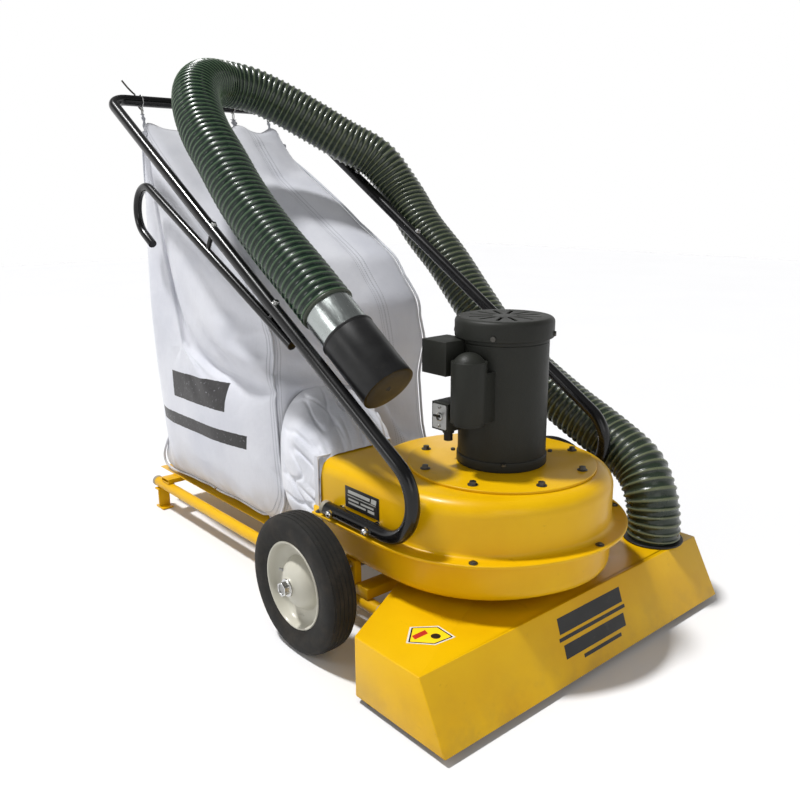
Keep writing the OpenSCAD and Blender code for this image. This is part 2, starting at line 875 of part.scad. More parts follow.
// Catmull-Rom point between route points i and i + 1
function route(i) = hose_route[max(0, min(len(hose_route) - 1, i))];
function smooth(a, b, c, d, t) = 0.5 * (2 * b + (c - a) * t + (2 * a - 5 * b + 4 * c - d) * t * t
    + (3 * b - a - 3 * c + d) * t * t * t);
hose_steps = 3;
hose_line = [for (i = [0 : len(hose_route) - 2]) for (k = [0 : hose_steps - 1])
    smooth(route(i - 1), route(i), route(i + 1), route(i + 2), k / hose_steps),
    hose_route[len(hose_route) - 1]];
function unit(v) = v / norm(v);
function line_dir(i) = i == 0 ? [0, 0, 1] : i == len(hose_line) - 1 ? hand_dir
    : unit(hose_line[i + 1] - hose_line[i - 1]);
// Ring frames are carried along the line without twist
function carry(side, dir) = unit(side - (side * dir) * dir);
function sides(i, last) = i == len(hose_line) ? []
    : let(s = carry(last, line_dir(i))) concat([s], sides(i + 1, s));
hose_sides = sides(0, [1, 0, 0]);
hose_facets = 12;
function ring(i, r) = [for (k = [0 : hose_facets - 1]) let(a = k * 360 / hose_facets)
    hose_line[i] + r * (cos(a) * hose_sides[i] + sin(a) * cross(line_dir(i), hose_sides[i]))];

module hose() {
    n = len(hose_line);
    m = hose_facets;
    pts = [for (i = [0 : n - 1]) for (p = ring(i, hose_r)) p];
    walls = [for (i = [0 : n - 2]) for (k = [0 : m - 1])
        [i * m + k, (i + 1) * m + k, (i + 1) * m + (k + 1) % m, i * m + (k + 1) % m]];
    start = [for (k = [0 : m - 1]) k];
    finish = [for (k = [m - 1 : -1 : 0]) (n - 1) * m + k];
    color("#16402a") place() polyhedron(points = pts, faces = concat([start], walls, [finish]));
}

module along_hand(d) {
    a = hand_start + d * hand_dir;
    translate(a) rotate([0, acos(hand_dir[2]), atan2(hand_dir[1], hand_dir[0])]) children();
}

module hand_tube() {
    color("silver") place() along_hand(0.2) difference() {
        cylinder(h = hand_show + cap_len - 14, r = wand_r);
        translate([0, 0, -1]) cylinder(h = 300, r = wand_r - 1.5);
    }
}

module hose_cap() {
    color("#111111") place() along_hand(hand_show) difference() {
        cylinder(h = cap_len, r = wand_r + 3);
        translate([0, 0, -1]) cylinder(h = cap_len - 4, r = wand_r + 0.05);
    }
}

nozzle_head();
nozzle_inlet_ring();
hose_port_collar();
roller_brackets();
roller_left();
roller_right();
lower_pan();
upper_casing();
motor_plate();
casing_screws();
nameplate();
impeller();
motor_shaft();
drive_end_bell();
motor_frame();
fan_end_bell();
motor_bearings();
stator_core();
stator_windings();
rotor_core();
cooling_fan();
fan_cover();
fan_cover_screws();
capacitor_cover();
capacitor();
conduit_box();
conduit_lid();
switch_body();
switch_toggle();
cord_gland();
axle();
axle_brackets();
tyre_left();
rim_left();
hub_left();
tyre_right();
rim_right();
hub_right();
axle_nuts();
rail_left();
rail_right();
tube_plugs();
cross_bars();
blower_posts();
bag_platform();
rear_feet();
handle_arm_left();
handle_arm_right();
handle_bracket();
handle_bolts();
bail();
hook_rod();
hook_ties();
filter_bag();
bag_neck_strap();
bag_hangers();
hose();
hand_tube();
hose_cap();
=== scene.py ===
# Walk-behind litter vacuum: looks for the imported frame.
# Places below are written in millimetres from the motor axis and turned into
# the frame's metres by at().
from math import acos, atan2, cos, degrees, exp, hypot, pi, radians, sin, sqrt, tan, tau
import bpy
import bmesh
from mathutils import Matrix, Vector, noise


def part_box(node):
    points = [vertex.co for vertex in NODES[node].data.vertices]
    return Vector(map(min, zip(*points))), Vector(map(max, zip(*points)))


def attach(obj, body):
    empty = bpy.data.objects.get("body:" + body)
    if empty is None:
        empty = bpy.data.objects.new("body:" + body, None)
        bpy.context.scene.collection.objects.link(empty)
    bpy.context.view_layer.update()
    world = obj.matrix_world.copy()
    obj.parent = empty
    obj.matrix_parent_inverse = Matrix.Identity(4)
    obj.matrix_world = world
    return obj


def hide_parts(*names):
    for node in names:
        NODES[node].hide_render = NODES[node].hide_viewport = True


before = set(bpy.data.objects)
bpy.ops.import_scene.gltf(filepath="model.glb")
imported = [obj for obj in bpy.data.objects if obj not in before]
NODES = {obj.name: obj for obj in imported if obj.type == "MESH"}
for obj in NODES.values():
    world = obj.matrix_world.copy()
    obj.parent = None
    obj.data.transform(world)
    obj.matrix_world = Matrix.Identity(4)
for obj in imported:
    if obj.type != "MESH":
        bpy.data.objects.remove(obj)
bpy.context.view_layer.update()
MID_Y = sum(c.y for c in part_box("motor_frame")) / 2


def at(x, y, z):
    return Vector((x / 1000, y / 1000 + MID_Y, z / 1000))


def add_object(name, data):
    ob = bpy.data.objects.new(name, data)
    bpy.context.scene.collection.objects.link(ob)
    return ob


# ---------- camera ----------

def make_camera():
    data = bpy.data.cameras.new("camera")
    data.lens = 36.5
    data.sensor_width = 36
    cam = add_object("camera", data)
    forward = Vector((0.6325, 0.7348, -0.2453)).normalized()
    turn = forward.to_track_quat("-Z", "Y").to_matrix() @ Matrix.Rotation(-0.0057, 3, "Z")
    cam.matrix_world = Matrix.Translation(at(-1067.06, -955.59, 789.65)) @ turn.to_4x4()
    bpy.context.scene.camera = cam


make_camera()

# ---------- materials ----------


def lin(*rgb):
    return [(c / 255 / 12.92 if c <= 10 else ((c / 255 + 0.055) / 1.055) ** 2.4) for c in rgb] + [1]


class Shader:
    """A Principled material and short ways to add nodes to it."""

    def __init__(self, name, color, rough, metal=0, **sockets):
        self.mat = bpy.data.materials.new(name)
        self.mat.use_nodes = True
        self.tree = self.mat.node_tree
        self.bsdf = self.tree.nodes["Principled BSDF"]
        self.fill(self.bsdf, Base_Color=color, Roughness=rough, Metallic=metal, **sockets)
        self.pos = self.node("ShaderNodeTexCoord").outputs["Object"]
        self.height = None

    def fill(self, n, **values):
        for key, value in values.items():
            self.put(value, n.inputs[key.replace("_", " ")])
        return n

    def node(self, kind, **settings):
        n = self.tree.nodes.new(kind)
        for key, value in settings.items():
            setattr(n, key, value)
        return n

    def link(self, a, b):
        self.tree.links.new(a, b)

    def put(self, value, socket):
        if isinstance(value, bpy.types.NodeSocket):
            self.link(value, socket)
        else:
            socket.default_value = value

    def math(self, op, a, b=0, c=0, clamp=False):
        n = self.node("ShaderNodeMath", operation=op, use_clamp=clamp)
        for i, v in enumerate((a, b, c)):
            self.put(v, n.inputs[i])
        return n.outputs[0]

    def mul(self, a, b):
        return self.math("MULTIPLY", a, b)

    def add(self, a, b):
        return self.math("ADD", a, b)

    def scaled(self, s):
        n = self.node("ShaderNodeMapping")
        n.inputs["Scale"].default_value = s
        self.link(self.pos, n.inputs["Vector"])
        return n.outputs[0]

    def noise(self, scale, detail=4, rough=0.55, stretch=None):
        n = self.node("ShaderNodeTexNoise")
        self.fill(n, Scale=scale, Detail=detail, Roughness=rough)
        self.link(self.scaled(stretch) if stretch else self.pos, n.inputs["Vector"])
        return n.outputs["Fac"]

    def ramp(self, fac, lo, hi):
        n = self.node("ShaderNodeMapRange", interpolation_type="SMOOTHSTEP")
        return self.fill(n, Value=fac, From_Min=lo, From_Max=hi).outputs["Result"]

    def mix(self, fac, a, b):
        n = self.node("ShaderNodeMix", data_type="RGBA")
        self.put(fac, n.inputs[0])
        self.put(a, n.inputs[6])
        self.put(b, n.inputs[7])
        return n.outputs[2]

    def axis(self, i):
        n = self.node("ShaderNodeSeparateXYZ")
        self.link(self.pos, n.inputs[0])
        return n.outputs[i]

    def color(self, value):
        self.link(value, self.bsdf.inputs["Base Color"])

    def rough(self, fac, lo, hi):
        n = self.node("ShaderNodeMapRange")
        self.fill(n, Value=fac, To_Min=lo, To_Max=hi)
        self.link(n.outputs["Result"], self.bsdf.inputs["Roughness"])

    def bump(self, height, distance, strength=1):
        n = self.node("ShaderNodeBump")
        self.fill(n, Strength=strength, Distance=distance, Height=height)
        if self.height:
            self.link(self.height, n.inputs["Normal"])
        self.height = n.outputs[0]
        self.link(self.height, self.bsdf.inputs["Normal"])


def paint(name, color, dark, rough, orange_peel, coat=0.05, scuffs=0.3):
    """Sprayed paint: slight orange peel, broad tone changes, fine scratches, dust low down."""
    s = Shader(name, color, rough, Coat_Weight=coat, Coat_Roughness=0.12, Specular_IOR_Level=0.2)
    tone = s.mix(s.ramp(s.noise(5, 5), 0.35, 0.7), color, dark)
    scratch = s.ramp(s.noise(28, 8, 0.72, (1, 0.35, 1.6)), 0.63, 0.70)
    worn = s.mix(s.mul(scratch, scuffs), tone, [c * 0.55 for c in dark[:3]] + [1])
    dust = s.mul(s.ramp(s.axis(2), 0.10, 0), s.ramp(s.noise(18, 6), 0.35, 0.7))
    s.color(s.mix(s.mul(dust, 0.28), worn, lin(112, 92, 56)))
    s.rough(s.noise(14, 6), rough - 0.07, rough + 0.13)
    s.bump(s.noise(420, 2), 0.00025, orange_peel)
    s.bump(s.noise(9, 2), 0.0012, 0.12)
    return s.mat


def metal(name, color, rough, streak=(1, 1, 14), wear=0.5):
    """Bare or plated steel: fine drawn lines, cloudy plating, small dark specks."""
    s = Shader(name, color, rough, 1)
    dark = [c * 0.62 for c in color[:3]] + [1]
    s.color(s.mix(s.mul(s.ramp(s.noise(22, 6), 0.45, 0.75), wear), color, dark))
    s.rough(s.noise(40, 5, 0.6, streak), rough - 0.08, rough + 0.16)
    s.bump(s.noise(260, 3, 0.6, streak), 0.00012, 0.5)
    return s.mat


def moulded(name, color, rough, grain=300, depth=0.0002, tone=0.25, dusty=0.15):
    """Plastic or rubber: fine moulded grain, faded patches and a little dust."""
    s = Shader(name, color, rough, Specular_IOR_Level=0.35)
    pale = [min(1, c * (1 + tone) + 0.01) for c in color[:3]] + [1]
    body = s.mix(s.ramp(s.noise(12, 5), 0.35, 0.75), color, pale)
    s.color(s.mix(s.mul(s.ramp(s.noise(35, 8, 0.7), 0.55, 0.75), dusty), body,
                  lin(120, 112, 98)))
    s.rough(s.noise(25, 5), rough - 0.06, rough + 0.12)
    s.bump(s.noise(grain, 3), depth, 0.6)
    return s.mat


def hose_material():
    """Clear-coated green wall with an olive rib that winds round; U is turns, V is round. The far (+x) run is
    painted paler and more olive as painted light.
    """
    s = Shader("hose_wall", lin(14, 44, 30), 0.30, Coat_Weight=0.12, Coat_Roughness=0.10,
               Specular_IOR_Level=0.35)
    sep = s.node("ShaderNodeSeparateXYZ")
    s.link(s.node("ShaderNodeTexCoord").outputs["UV"], sep.inputs[0])
    wave = s.math("COSINE", s.mul(sep.outputs[0], tau))
    rib = s.ramp(wave, 0.45, 0.92)
    # painted light: this mask paints the far (+x) run of the hose paler and more olive than the near run, on
    # wall and rib alike
    far_run_painted_light = s.ramp(s.add(s.axis(0), s.mul(s.noise(5, 3), 0.08)), -0.16, 0.30)
    rib_tone = s.mix(far_run_painted_light, lin(66, 88, 62), lin(92, 98, 74))
    wall = s.mix(s.noise(30, 5), s.mix(far_run_painted_light, lin(5, 26, 17), lin(30, 40, 30)),
                 s.mix(far_run_painted_light, lin(9, 36, 24), lin(42, 52, 40)))
    s.color(s.mix(rib, wall, rib_tone))
    s.rough(s.noise(50, 6), 0.16, 0.42)
    s.bump(s.noise(600, 3), 0.00015, 0.35)
    return s.mat


def cloth_material(name, color, dark):
    """Sewn cloth: plain weave, crumpled shading, soot specks and dust low down."""
    s = Shader(name, color, 0.85, Sheen_Weight=0.25, Sheen_Roughness=0.5)
    weave = None
    for k in range(3):
        w = s.math("SINE", s.mul(s.axis(k), tau / 0.0022))
        weave = w if weave is None else s.add(weave, w)
    tone = s.mix(s.ramp(s.noise(7, 6), 0.35, 0.72), color, dark)
    soot = s.mul(s.ramp(s.noise(60, 8, 0.75), 0.60, 0.80), 0.25)
    body = s.mix(soot, tone, lin(120, 116, 110))
    low = s.mul(s.ramp(s.axis(2), 0.22, 0.09), s.ramp(s.noise(16, 6), 0.3, 0.7))
    body = s.mix(s.mul(low, 0.5), body, lin(150, 132, 98))
    s.color(body)
    s.bump(s.noise(26, 5, 0.6), 0.004, 0.35)
    s.bump(weave, 0.00012, 0.6)
    return s.mat


def tyre_material():
    s = Shader("tyre_rubber", lin(28, 27, 25), 0.8, Specular_IOR_Level=0.3)
    dust = s.ramp(s.noise(24, 8, 0.7), 0.42, 0.72)
    s.color(s.mix(s.mul(dust, 0.35), lin(27, 26, 24), lin(66, 58, 48)))
    s.rough(s.noise(30, 5), 0.62, 0.9)
    s.bump(s.noise(180, 6, 0.7), 0.0006, 0.5)
    return s.mat


M = {
    "yellow": paint("yellow_paint", lin(214, 168, 3), lin(204, 155, 1), 0.30, 0.25),
    "motor": paint("motor_paint", lin(36, 37, 33), lin(29, 29, 26), 0.46, 0.9, 0, 0.2),
    "black": paint("black_enamel", lin(6, 6, 7), lin(12, 12, 13), 0.24, 0.2, 0.35, 0.4),
    "cream": paint("rim_paint", lin(186, 184, 172), lin(170, 166, 152), 0.34, 0.3, 0.1, 0.5),
    "zinc": metal("zinc_plate", lin(176, 182, 180), 0.20, (9, 1, 1), 0.35),
    "chrome": metal("bright_steel", lin(205, 205, 203), 0.16),
    "dark": metal("dark_steel", lin(84, 82, 78), 0.42),
    "steel": metal("bare_steel", lin(160, 160, 158), 0.34),
    "alloy": metal("cast_alloy", lin(165, 166, 168), 0.48),
    "plastic": moulded("black_plastic", lin(16, 16, 16), 0.46),
    "grey": moulded("grey_plastic", lin(138, 132, 118), 0.5, 300, 0.0002, 0.15, 0.5),
    "rubber": moulded("cap_rubber", lin(10, 10, 11), 0.34, 420, 0.00015, 0.2, 0.06),
    "face": moulded("cap_face", lin(42, 42, 43), 0.50, 420, 0.00015, 0.15, 0.12),
    "enamel": moulded("winding", lin(150, 74, 26), 0.35, 500, 0.0006),
    "can": moulded("blue_can", lin(30, 54, 100), 0.3),
    "print": moulded("black_print", lin(20, 20, 20), 0.36, 300, 0.0001, 0.2, 0.2),
    "label": moulded("label_white", lin(214, 212, 204), 0.4, 300, 0.0001, -0.08, 0.3),
    "silver": moulded("label_silver", lin(165, 165, 160), 0.35, 300, 0.0001, 0.1, 0.2),
    "red": moulded("label_red", lin(176, 34, 26), 0.4, 300, 0.0001, 0.1, 0.2),
    "label_yellow": moulded("label_yellow", lin(240, 200, 20), 0.4, 300, 0.0001, 0.1, 0.2),
    "hose_rim": moulded("hose_rim", lin(46, 52, 40), 0.36, 420, 0.0001, 0.2, 0.1),
    "hose": hose_material(),
    "tyre": tyre_material(),
    "strap": cloth_material("strap_cloth", lin(204, 205, 211), lin(184, 186, 194)),
    "piping": cloth_material("piping_cloth", lin(200, 202, 208), lin(176, 178, 186)),
}

# map from the print and label materials to the frame's slot plate_print; it is built but not kept or used
dict.fromkeys(("label", "print", "label_yellow", "red", "silver"), "plate_print")

# ---------- mesh helpers ----------

def middle(points):
    return [sum(p[i] for p in points) / len(points) for i in (0, 1)]


def piece(name, verts, faces, mat, smooth=40, uvs=None, body="chassis"):
    """One mesh object that rides on a body. Edges sharper than `smooth` degrees stay sharp."""
    me = bpy.data.meshes.new(name)
    me.from_pydata([tuple(v) for v in verts], [], faces)
    me.validate()
    if uvs:
        layer = me.uv_layers.new(name="UVMap")
        for loop in me.loops:
            layer.data[loop.index].uv = uvs[loop.vertex_index]
    ob = add_object(name, me)
    me.materials.append(M[mat])
    shade(me, smooth)
    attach(ob, body)
    return ob


def shade(me, angle):
    bm = bmesh.new()
    bm.from_mesh(me)
    bmesh.ops.recalc_face_normals(bm, faces=bm.faces)
    limit = radians(angle)
    for f in bm.faces:
        f.smooth = True
    for e in bm.edges:
        e.smooth = len(e.link_faces) == 2 and e.calc_face_angle(0) < limit
    bm.to_mesh(me)
    bm.free()


def subdivide(ob):
    sub = ob.modifiers.new("sub", "SUBSURF")
    sub.levels = sub.render_levels = 1


def grid_faces(rows, cols, wrap_cols=True, wrap_rows=False):
    """Quads over rows x cols vertices laid out row by row."""
    faces = []
    for i in range(rows if wrap_rows else rows - 1):
        for j in range(cols if wrap_cols else cols - 1):
            a, b = i * cols + j, i * cols + (j + 1) % cols
            c, d = ((i + 1) % rows) * cols + (j + 1) % cols, ((i + 1) % rows) * cols + j
            faces.append((a, b, c, d))
    return faces


def row_face(row, n, flip=False):
    """One face over a whole row of n vertices."""
    face = tuple(row * n + k for k in range(n))
    return face[::-1] if flip else face


def lathe(name, profile, origin, axis, mat, seg=96, closed=False, smooth=40, body="chassis"):
    """Turns a profile of (radius, height along axis) in mm about the axis."""
    turn = Vector(axis).to_track_quat("Z", "X").to_matrix()
    verts = []
    for r, h in profile:
        for k in range(seg):
            a = tau * k / seg
            verts.append(origin + turn @ Vector((r * cos(a), r * sin(a), h)) / 1000)
    faces = grid_faces(len(profile), seg, True, closed)
    if not closed:
        if profile[0][0] > 0.001:
            faces.append(row_face(0, seg, True))
        if profile[-1][0] > 0.001:
            faces.append(row_face(len(profile) - 1, seg))
    return piece(name, verts, faces, mat, smooth, body=body)


def catmull(pts, n):
    """Smooth line through the points, n steps for each span."""
    p = [Vector(q) for q in pts]
    out = []
    for i in range(len(p) - 1):
        a, b, c, d = p[max(i - 1, 0)], p[i], p[i + 1], p[min(i + 2, len(p) - 1)]
        for k in range(n):
            t = k / n
            out.append(0.5 * ((2 * b) + (c - a) * t + (2 * a - 5 * b + 4 * c - d) * t * t
                              + (3 * b - a - 3 * c + d) * t ** 3))
    out.append(p[-1])
    return out


def spaced(line, step):
    """The same line with even steps near `step` metres, and its length."""
    dist = [0]
    for a, b in zip(line, line[1:]):
        dist.append(dist[-1] + (b - a).length)
    n = max(2, round(dist[-1] / step))
    out, j = [], 0
    for i in range(n + 1):
        s = dist[-1] * i / n
        while j < len(dist) - 2 and dist[j + 1] < s:
            j += 1
        t = (s - dist[j]) / max(1e-9, dist[j + 1] - dist[j])
        out.append(line[j].lerp(line[j + 1], min(1, t)))
    return out, dist[-1]


def frames(line):
    """Directions and untwisted side vectors along a line."""
    dirs = []
    for i in range(len(line)):
        a, b = line[max(i - 1, 0)], line[min(i + 1, len(line) - 1)]
        dirs.append((b - a).normalized())
    side = dirs[0].orthogonal().normalized()
    sides = []
    for d in dirs:
        side = (side - side.dot(d) * d).normalized()
        sides.append(side.copy())
    return dirs, sides


def sweep(name, line, radius, mat, seg=16, uv_turn=None):
    """A round tube along the line; radius is a number or a function of (distance, angle)."""
    dirs, sides = frames(line)
    verts, uvs, s = [], [], 0
    for i, (c, d, u) in enumerate(zip(line, dirs, sides)):
        if i:
            s += (c - line[i - 1]).length
        w = d.cross(u)
        for k in range(seg):
            a = tau * k / seg
            r = radius(s, a) if callable(radius) else radius
            verts.append(c + (u * cos(a) + w * sin(a)) * r)
            if uv_turn:
                uvs.append((s / uv_turn + a / tau, k / seg))
    faces = grid_faces(len(line), seg) + [row_face(0, seg, True), row_face(len(line) - 1, seg)]
    return piece(name, verts, faces, mat, 50, uvs if uv_turn else None)


def plate(name, outline, origin, u, v, thick, mat, bevel=0):
    """A flat plate: outline points (mm) on the plane origin, u, v, raised by thick (mm)."""
    u, v = Vector(u).normalized(), Vector(v).normalized()
    n = u.cross(v)
    rings = [(0, 0), (thick - bevel, 0)] + ([(thick, bevel)] if bevel else [])
    cx, cy = middle(outline)
    size = max(max(abs(p[0] - cx), abs(p[1] - cy)) for p in outline)
    verts = []
    for h, inset in rings:
        k = 1 - inset / size
        for a, b in outline:
            verts.append(origin + (u * (cx + (a - cx) * k) + v * (cy + (b - cy) * k) + n * h) / 1000)
    m = len(outline)
    faces = grid_faces(len(rings), m) + [row_face(0, m, True), row_face(len(rings) - 1, m)]
    return piece(name, verts, faces, mat, 35)


def join(name, obs):
    """Joins finished pieces of one body into one object."""
    bpy.ops.object.select_all(action="DESELECT")
    for o in obs:
        o.select_set(True)
    bpy.context.view_layer.objects.active = obs[0]
    bpy.ops.object.join()
    obs[0].name = name
    return obs[0]


def rounded_rect(w, h, r, n=6):
    pts = []
    for cx, cy, a0 in ((w / 2 - r, h / 2 - r, 0), (-w / 2 + r, h / 2 - r, 90),
                       (-w / 2 + r, -h / 2 + r, 180), (w / 2 - r, -h / 2 + r, 270)):
        for k in range(n + 1):
            a = radians(a0 + 90 * k / n)
            pts.append((cx + r * cos(a), cy + r * sin(a)))
    return pts


# ---------- hand hose ----------

HOSE_ROUTE = [
    (306, -138, 121), (306, -136, 165), (309, -122, 212), (321, -84, 255), (325, -10, 294),
    (326, 90, 338), (326, 190, 390), (326, 300, 456), (330, 400, 546), (332, 489, 633),
    (328, 576, 710), (326, 650, 793), (288, 701, 875), (217, 750, 924), (152, 793, 969),
    (90, 830, 1008), (25, 857, 1037), (-48, 862, 1046), (-110, 830, 1040),
    (-160, 780, 1014), (-195, 716, 970), (-215, 648, 916), (-223, 576, 860),
    (-226, 490, 782), (-223, 400, 710), (-218, 310, 646), (-212, 236, 589)]
HOSE_END = at(*HOSE_ROUTE[-1])
HAND_DIR = Vector((0.082203, -0.770651, -0.631934))
CAP_START = HOSE_END + HAND_DIR * 0.065
RIB_PITCH = 0.0142


def make_hose():
    line, length = spaced(catmull([at(*p) for p in HOSE_ROUTE], 24), RIB_PITCH / 9)

    def wall(s, a):
        wave = cos(tau * s / RIB_PITCH + a)
        rib = max(0, (wave - 0.1) / 0.9) ** 0.6
        return 0.0492 + 0.0034 * rib

    hose = sweep("hand_hose", line, wall, "hose", 40, RIB_PITCH)
    # The hose is turned over a thin rim on the hand tube
    cuff = lathe("hose_cuff", [(45, -5), (49.5, -4.4), (51.2, -2.6), (51.4, 0.4), (50.4, 2), (45, 2.6)],
                 HOSE_END, HAND_DIR, "hose_rim")
    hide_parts("hose")


def make_cap_face():
    """Moulded end face of the cap, with a small filler plug in the middle, and its rolled lip."""
    lathe("cap_end_face", [(46, 126), (46, 129.75), (45.2, 130), (44.4, 129.7), (43.6, 129.9), (30, 130.1),
                           (5.4, 130.1), (5, 130.9), (3.2, 131), (2.8, 129.8), (0, 129.8)],
          CAP_START, HAND_DIR, "face", 96, body="end_cap")
    lathe("cap_lip", [(51, 0), (51.9, 0.6), (52.2, 2.5), (51.9, 4.6), (51, 5.4), (50.6, 3)],
          CAP_START, HAND_DIR, "rubber", 96, True, body="end_cap")


make_cap_face()
make_hose()

# ---------- wheels ----------

def arc(cx, cy, r, a0, a1, n):
    return [(cx + r * cos(radians(a0 + (a1 - a0) * k / n)),
             cy + r * sin(radians(a0 + (a1 - a0) * k / n))) for k in range(n + 1)]


def make_wheel(side, tag):
    """Solid tyre with ribbed tread, dished rim with a pressed hub, both turned about the axle."""
    origin = at(side * 342, 152, 127)
    out = (side, 0, 0)
    body = "wheel_" + tag
    half = [(127, 0), (127, 3.2), (125.9, 3.6), (125.9, 5.4), (127, 5.8), (126.8, 11.6), (125.6, 12),
            (125.6, 13.8), (126.5, 14.2), (125.6, 19.4), (124.2, 20), (124, 21.4), (124.4, 22),
            (121.6, 25.2), (117.6, 27.6), (112, 28.8), (106, 29), (98, 28.4), (91, 26.6),
            (85, 24.6), (81.6, 24.2), (79.4, 22.6), (78.8, 19), (77, 17.5)]
    profile = [(r, -h) for r, h in reversed(half[1:])] + half
    tyre = lathe("tyre_" + tag + "_rubber", profile, origin, out, "tyre", 160, True, 34,
                 body)
    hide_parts("tyre_" + tag)
    rim = [(77.5, 17), (79, 20.5), (80.2, 23), (79, 25), (76.8, 24.6), (75.2, 21.6), (74, 14), (71.5, 7),
           (67, 3), (60, 1.2), (53, 1), (50, 2.2), (46.5, 8.5), (42, 15.5), (36, 21.5),
           (29, 25.6), (22, 28), (17.6, 29.6), (16.4, 31.6), (15.8, 33), (9.7, 33), (9.7, 20),
           (20, 18), (34, 10), (44, -2), (58, -4), (70, -4.5), (73, -18),
           (76, -23), (79, -23), (79.6, -21), (77.5, -17)]
    disc = lathe("rim_" + tag + "_disc", rim, origin, out, "cream", 128, True, 38,
                 body)
    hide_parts("rim_" + tag)
    # grease nipple on the hub
    base = origin + Vector(out) * 0.0215 + Vector((0, 0.030, 0.019))
    lathe("grease_nipple_" + tag, [(3, -2), (3, 1.5), (2.2, 2), (2, 4.5), (2.8, 5.5), (2.4, 7.5), (0, 8)],
          base, (side * 0.75, 0.5, 0.35), "steel", 16, body=body)


for wheel_side, wheel_tag in ((1, "left"), (-1, "right")):
    make_wheel(wheel_side, wheel_tag)

# ---------- blower casing ----------

CASING_R, SCROLL_R, SCROLL_C = 203, 214, (-26, 20)
DUCT_X0, DUCT_X1, DUCT_END = -240, -70, 250
FLANGE_END = DUCT_END - 24
SHOULDER_R, SHOULDER_Z = 28, 284


def scroll_outline(d, end):
    """Plan outline of the scroll and duct, moved outwards by d (mm), from one duct corner round
    the front to the other. Every offset has the same number of points in the same order."""
    r1, r2 = CASING_R + d, SCROLL_R + d
    cx, cy = SCROLL_C
    gap = hypot(cx, cy)
    mid = (r1 * r1 - r2 * r2 + gap * gap) / (2 * gap)
    h = sqrt(max(0, r1 * r1 - mid * mid))
    ux, uy = cx / gap, cy / gap
    meet = [(mid * ux - h * uy, mid * uy + h * ux), (mid * ux + h * uy, mid * uy - h * ux)]
    right = max(meet, key=lambda p: p[0])
    left = min(meet, key=lambda p: p[0])
    x1 = DUCT_X1 + d
    y1 = cy + sqrt(max(1, r2 * r2 - (x1 - cx) ** 2))
    pts = [(x1, end + (y1 - end) * k / 3) for k in range(3)]
    a0 = degrees(atan2(y1 - cy, x1 - cx))
    a1 = degrees(atan2(right[1] - cy, right[0] - cx))
    pts += arc(cx, cy, r2, a0, a1, 26)[:-1]
    a0 = degrees(atan2(right[1], right[0]))
    a1 = degrees(atan2(left[1], left[0]))
    a1 = a1 - 360 if a1 > a0 else a1
    pts += arc(0, 0, r1, a0, a1, 60)[:-1]
    a0 = degrees(atan2(left[1] - cy, left[0] - cx))
    a0 = a0 + 360 if a0 < 0 else a0
    pts += arc(cx, cy, r2, a0, 180, 14)
    x0 = DUCT_X0 - d
    pts += [(x0, cy + (end - cy) * k / 12) for k in range(1, 13)]
    for _ in range(6):
        pts = [p if i < 5 or i > len(pts) - 12 else
               tuple((pts[i - 1][c] + 2 * p[c] + pts[i + 1][c]) / 4 for c in (0, 1))
               for i, p in enumerate(pts)]
    return pts


def casing_skin(sections):
    """Lofts (offset, height, duct end) sections into one open shell with a thick edge."""
    verts = []
    for d, z, end in sections:
        ring = scroll_outline(d, end)
        cols = len(ring)
        verts += [at(x, y, z) for x, y in ring]
    faces = grid_faces(len(sections), cols, False)
    return verts, faces, cols


def make_upper_casing():
    """Pressed steel cover: flat top, rolled shoulder, wall, root radius, flange and turned edge."""
    out = [(x - SHOULDER_R, SHOULDER_Z + y, DUCT_END) for x, y in arc(0, 0, SHOULDER_R, 90, 0, 8)]
    out += [(0, 262, DUCT_END), (0, 240, DUCT_END)]
    out += [(9 - 9 * cos(radians(a)), 227 - 9 * sin(radians(a)), DUCT_END - 2)
            for a in (0, 22, 45, 67, 90)]
    out += [(24, 218, FLANGE_END), (27.6, 218, FLANGE_END), (29, 217, FLANGE_END),
            (29.2, 214.5, FLANGE_END), (28.4, 212.5, FLANGE_END), (27, 213.5, FLANGE_END),
            (24, 215.4, FLANGE_END), (10, 215.4, DUCT_END - 3)]
    back = [(-2.6, 222, DUCT_END), (-2.6, SHOULDER_Z, DUCT_END)]
    back += [(x - SHOULDER_R, SHOULDER_Z + y, DUCT_END) for x, y in arc(0, 0, 25.4, 0, 90, 6)]
    verts, faces, cols = casing_skin(out + back)
    # flat top, outside and inside
    faces += [row_face(0, cols), row_face(len(out) + len(back) - 1, cols, True)]
    ob = piece("casing_cover", verts, faces, "yellow", 42)
    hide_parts("upper_casing")
    # rolled bead round the duct mouth
    mouth = [(DUCT_X0, 150), (DUCT_X0, SHOULDER_Z)]
    mouth += [(DUCT_X0 + SHOULDER_R - SHOULDER_R * cos(radians(a)),
               SHOULDER_Z + SHOULDER_R * sin(radians(a))) for a in range(10, 91, 10)]
    mouth += [(DUCT_X1 - SHOULDER_R + SHOULDER_R * sin(radians(a)),
               SHOULDER_Z + SHOULDER_R * cos(radians(a))) for a in range(0, 91, 10)]
    mouth += [(DUCT_X1, 150)]
    line = [at(x, DUCT_END - 2.2, z) for x, z in mouth]
    sweep("duct_mouth_bead", spaced(line, 0.006)[0], 0.0026, "yellow", 10)


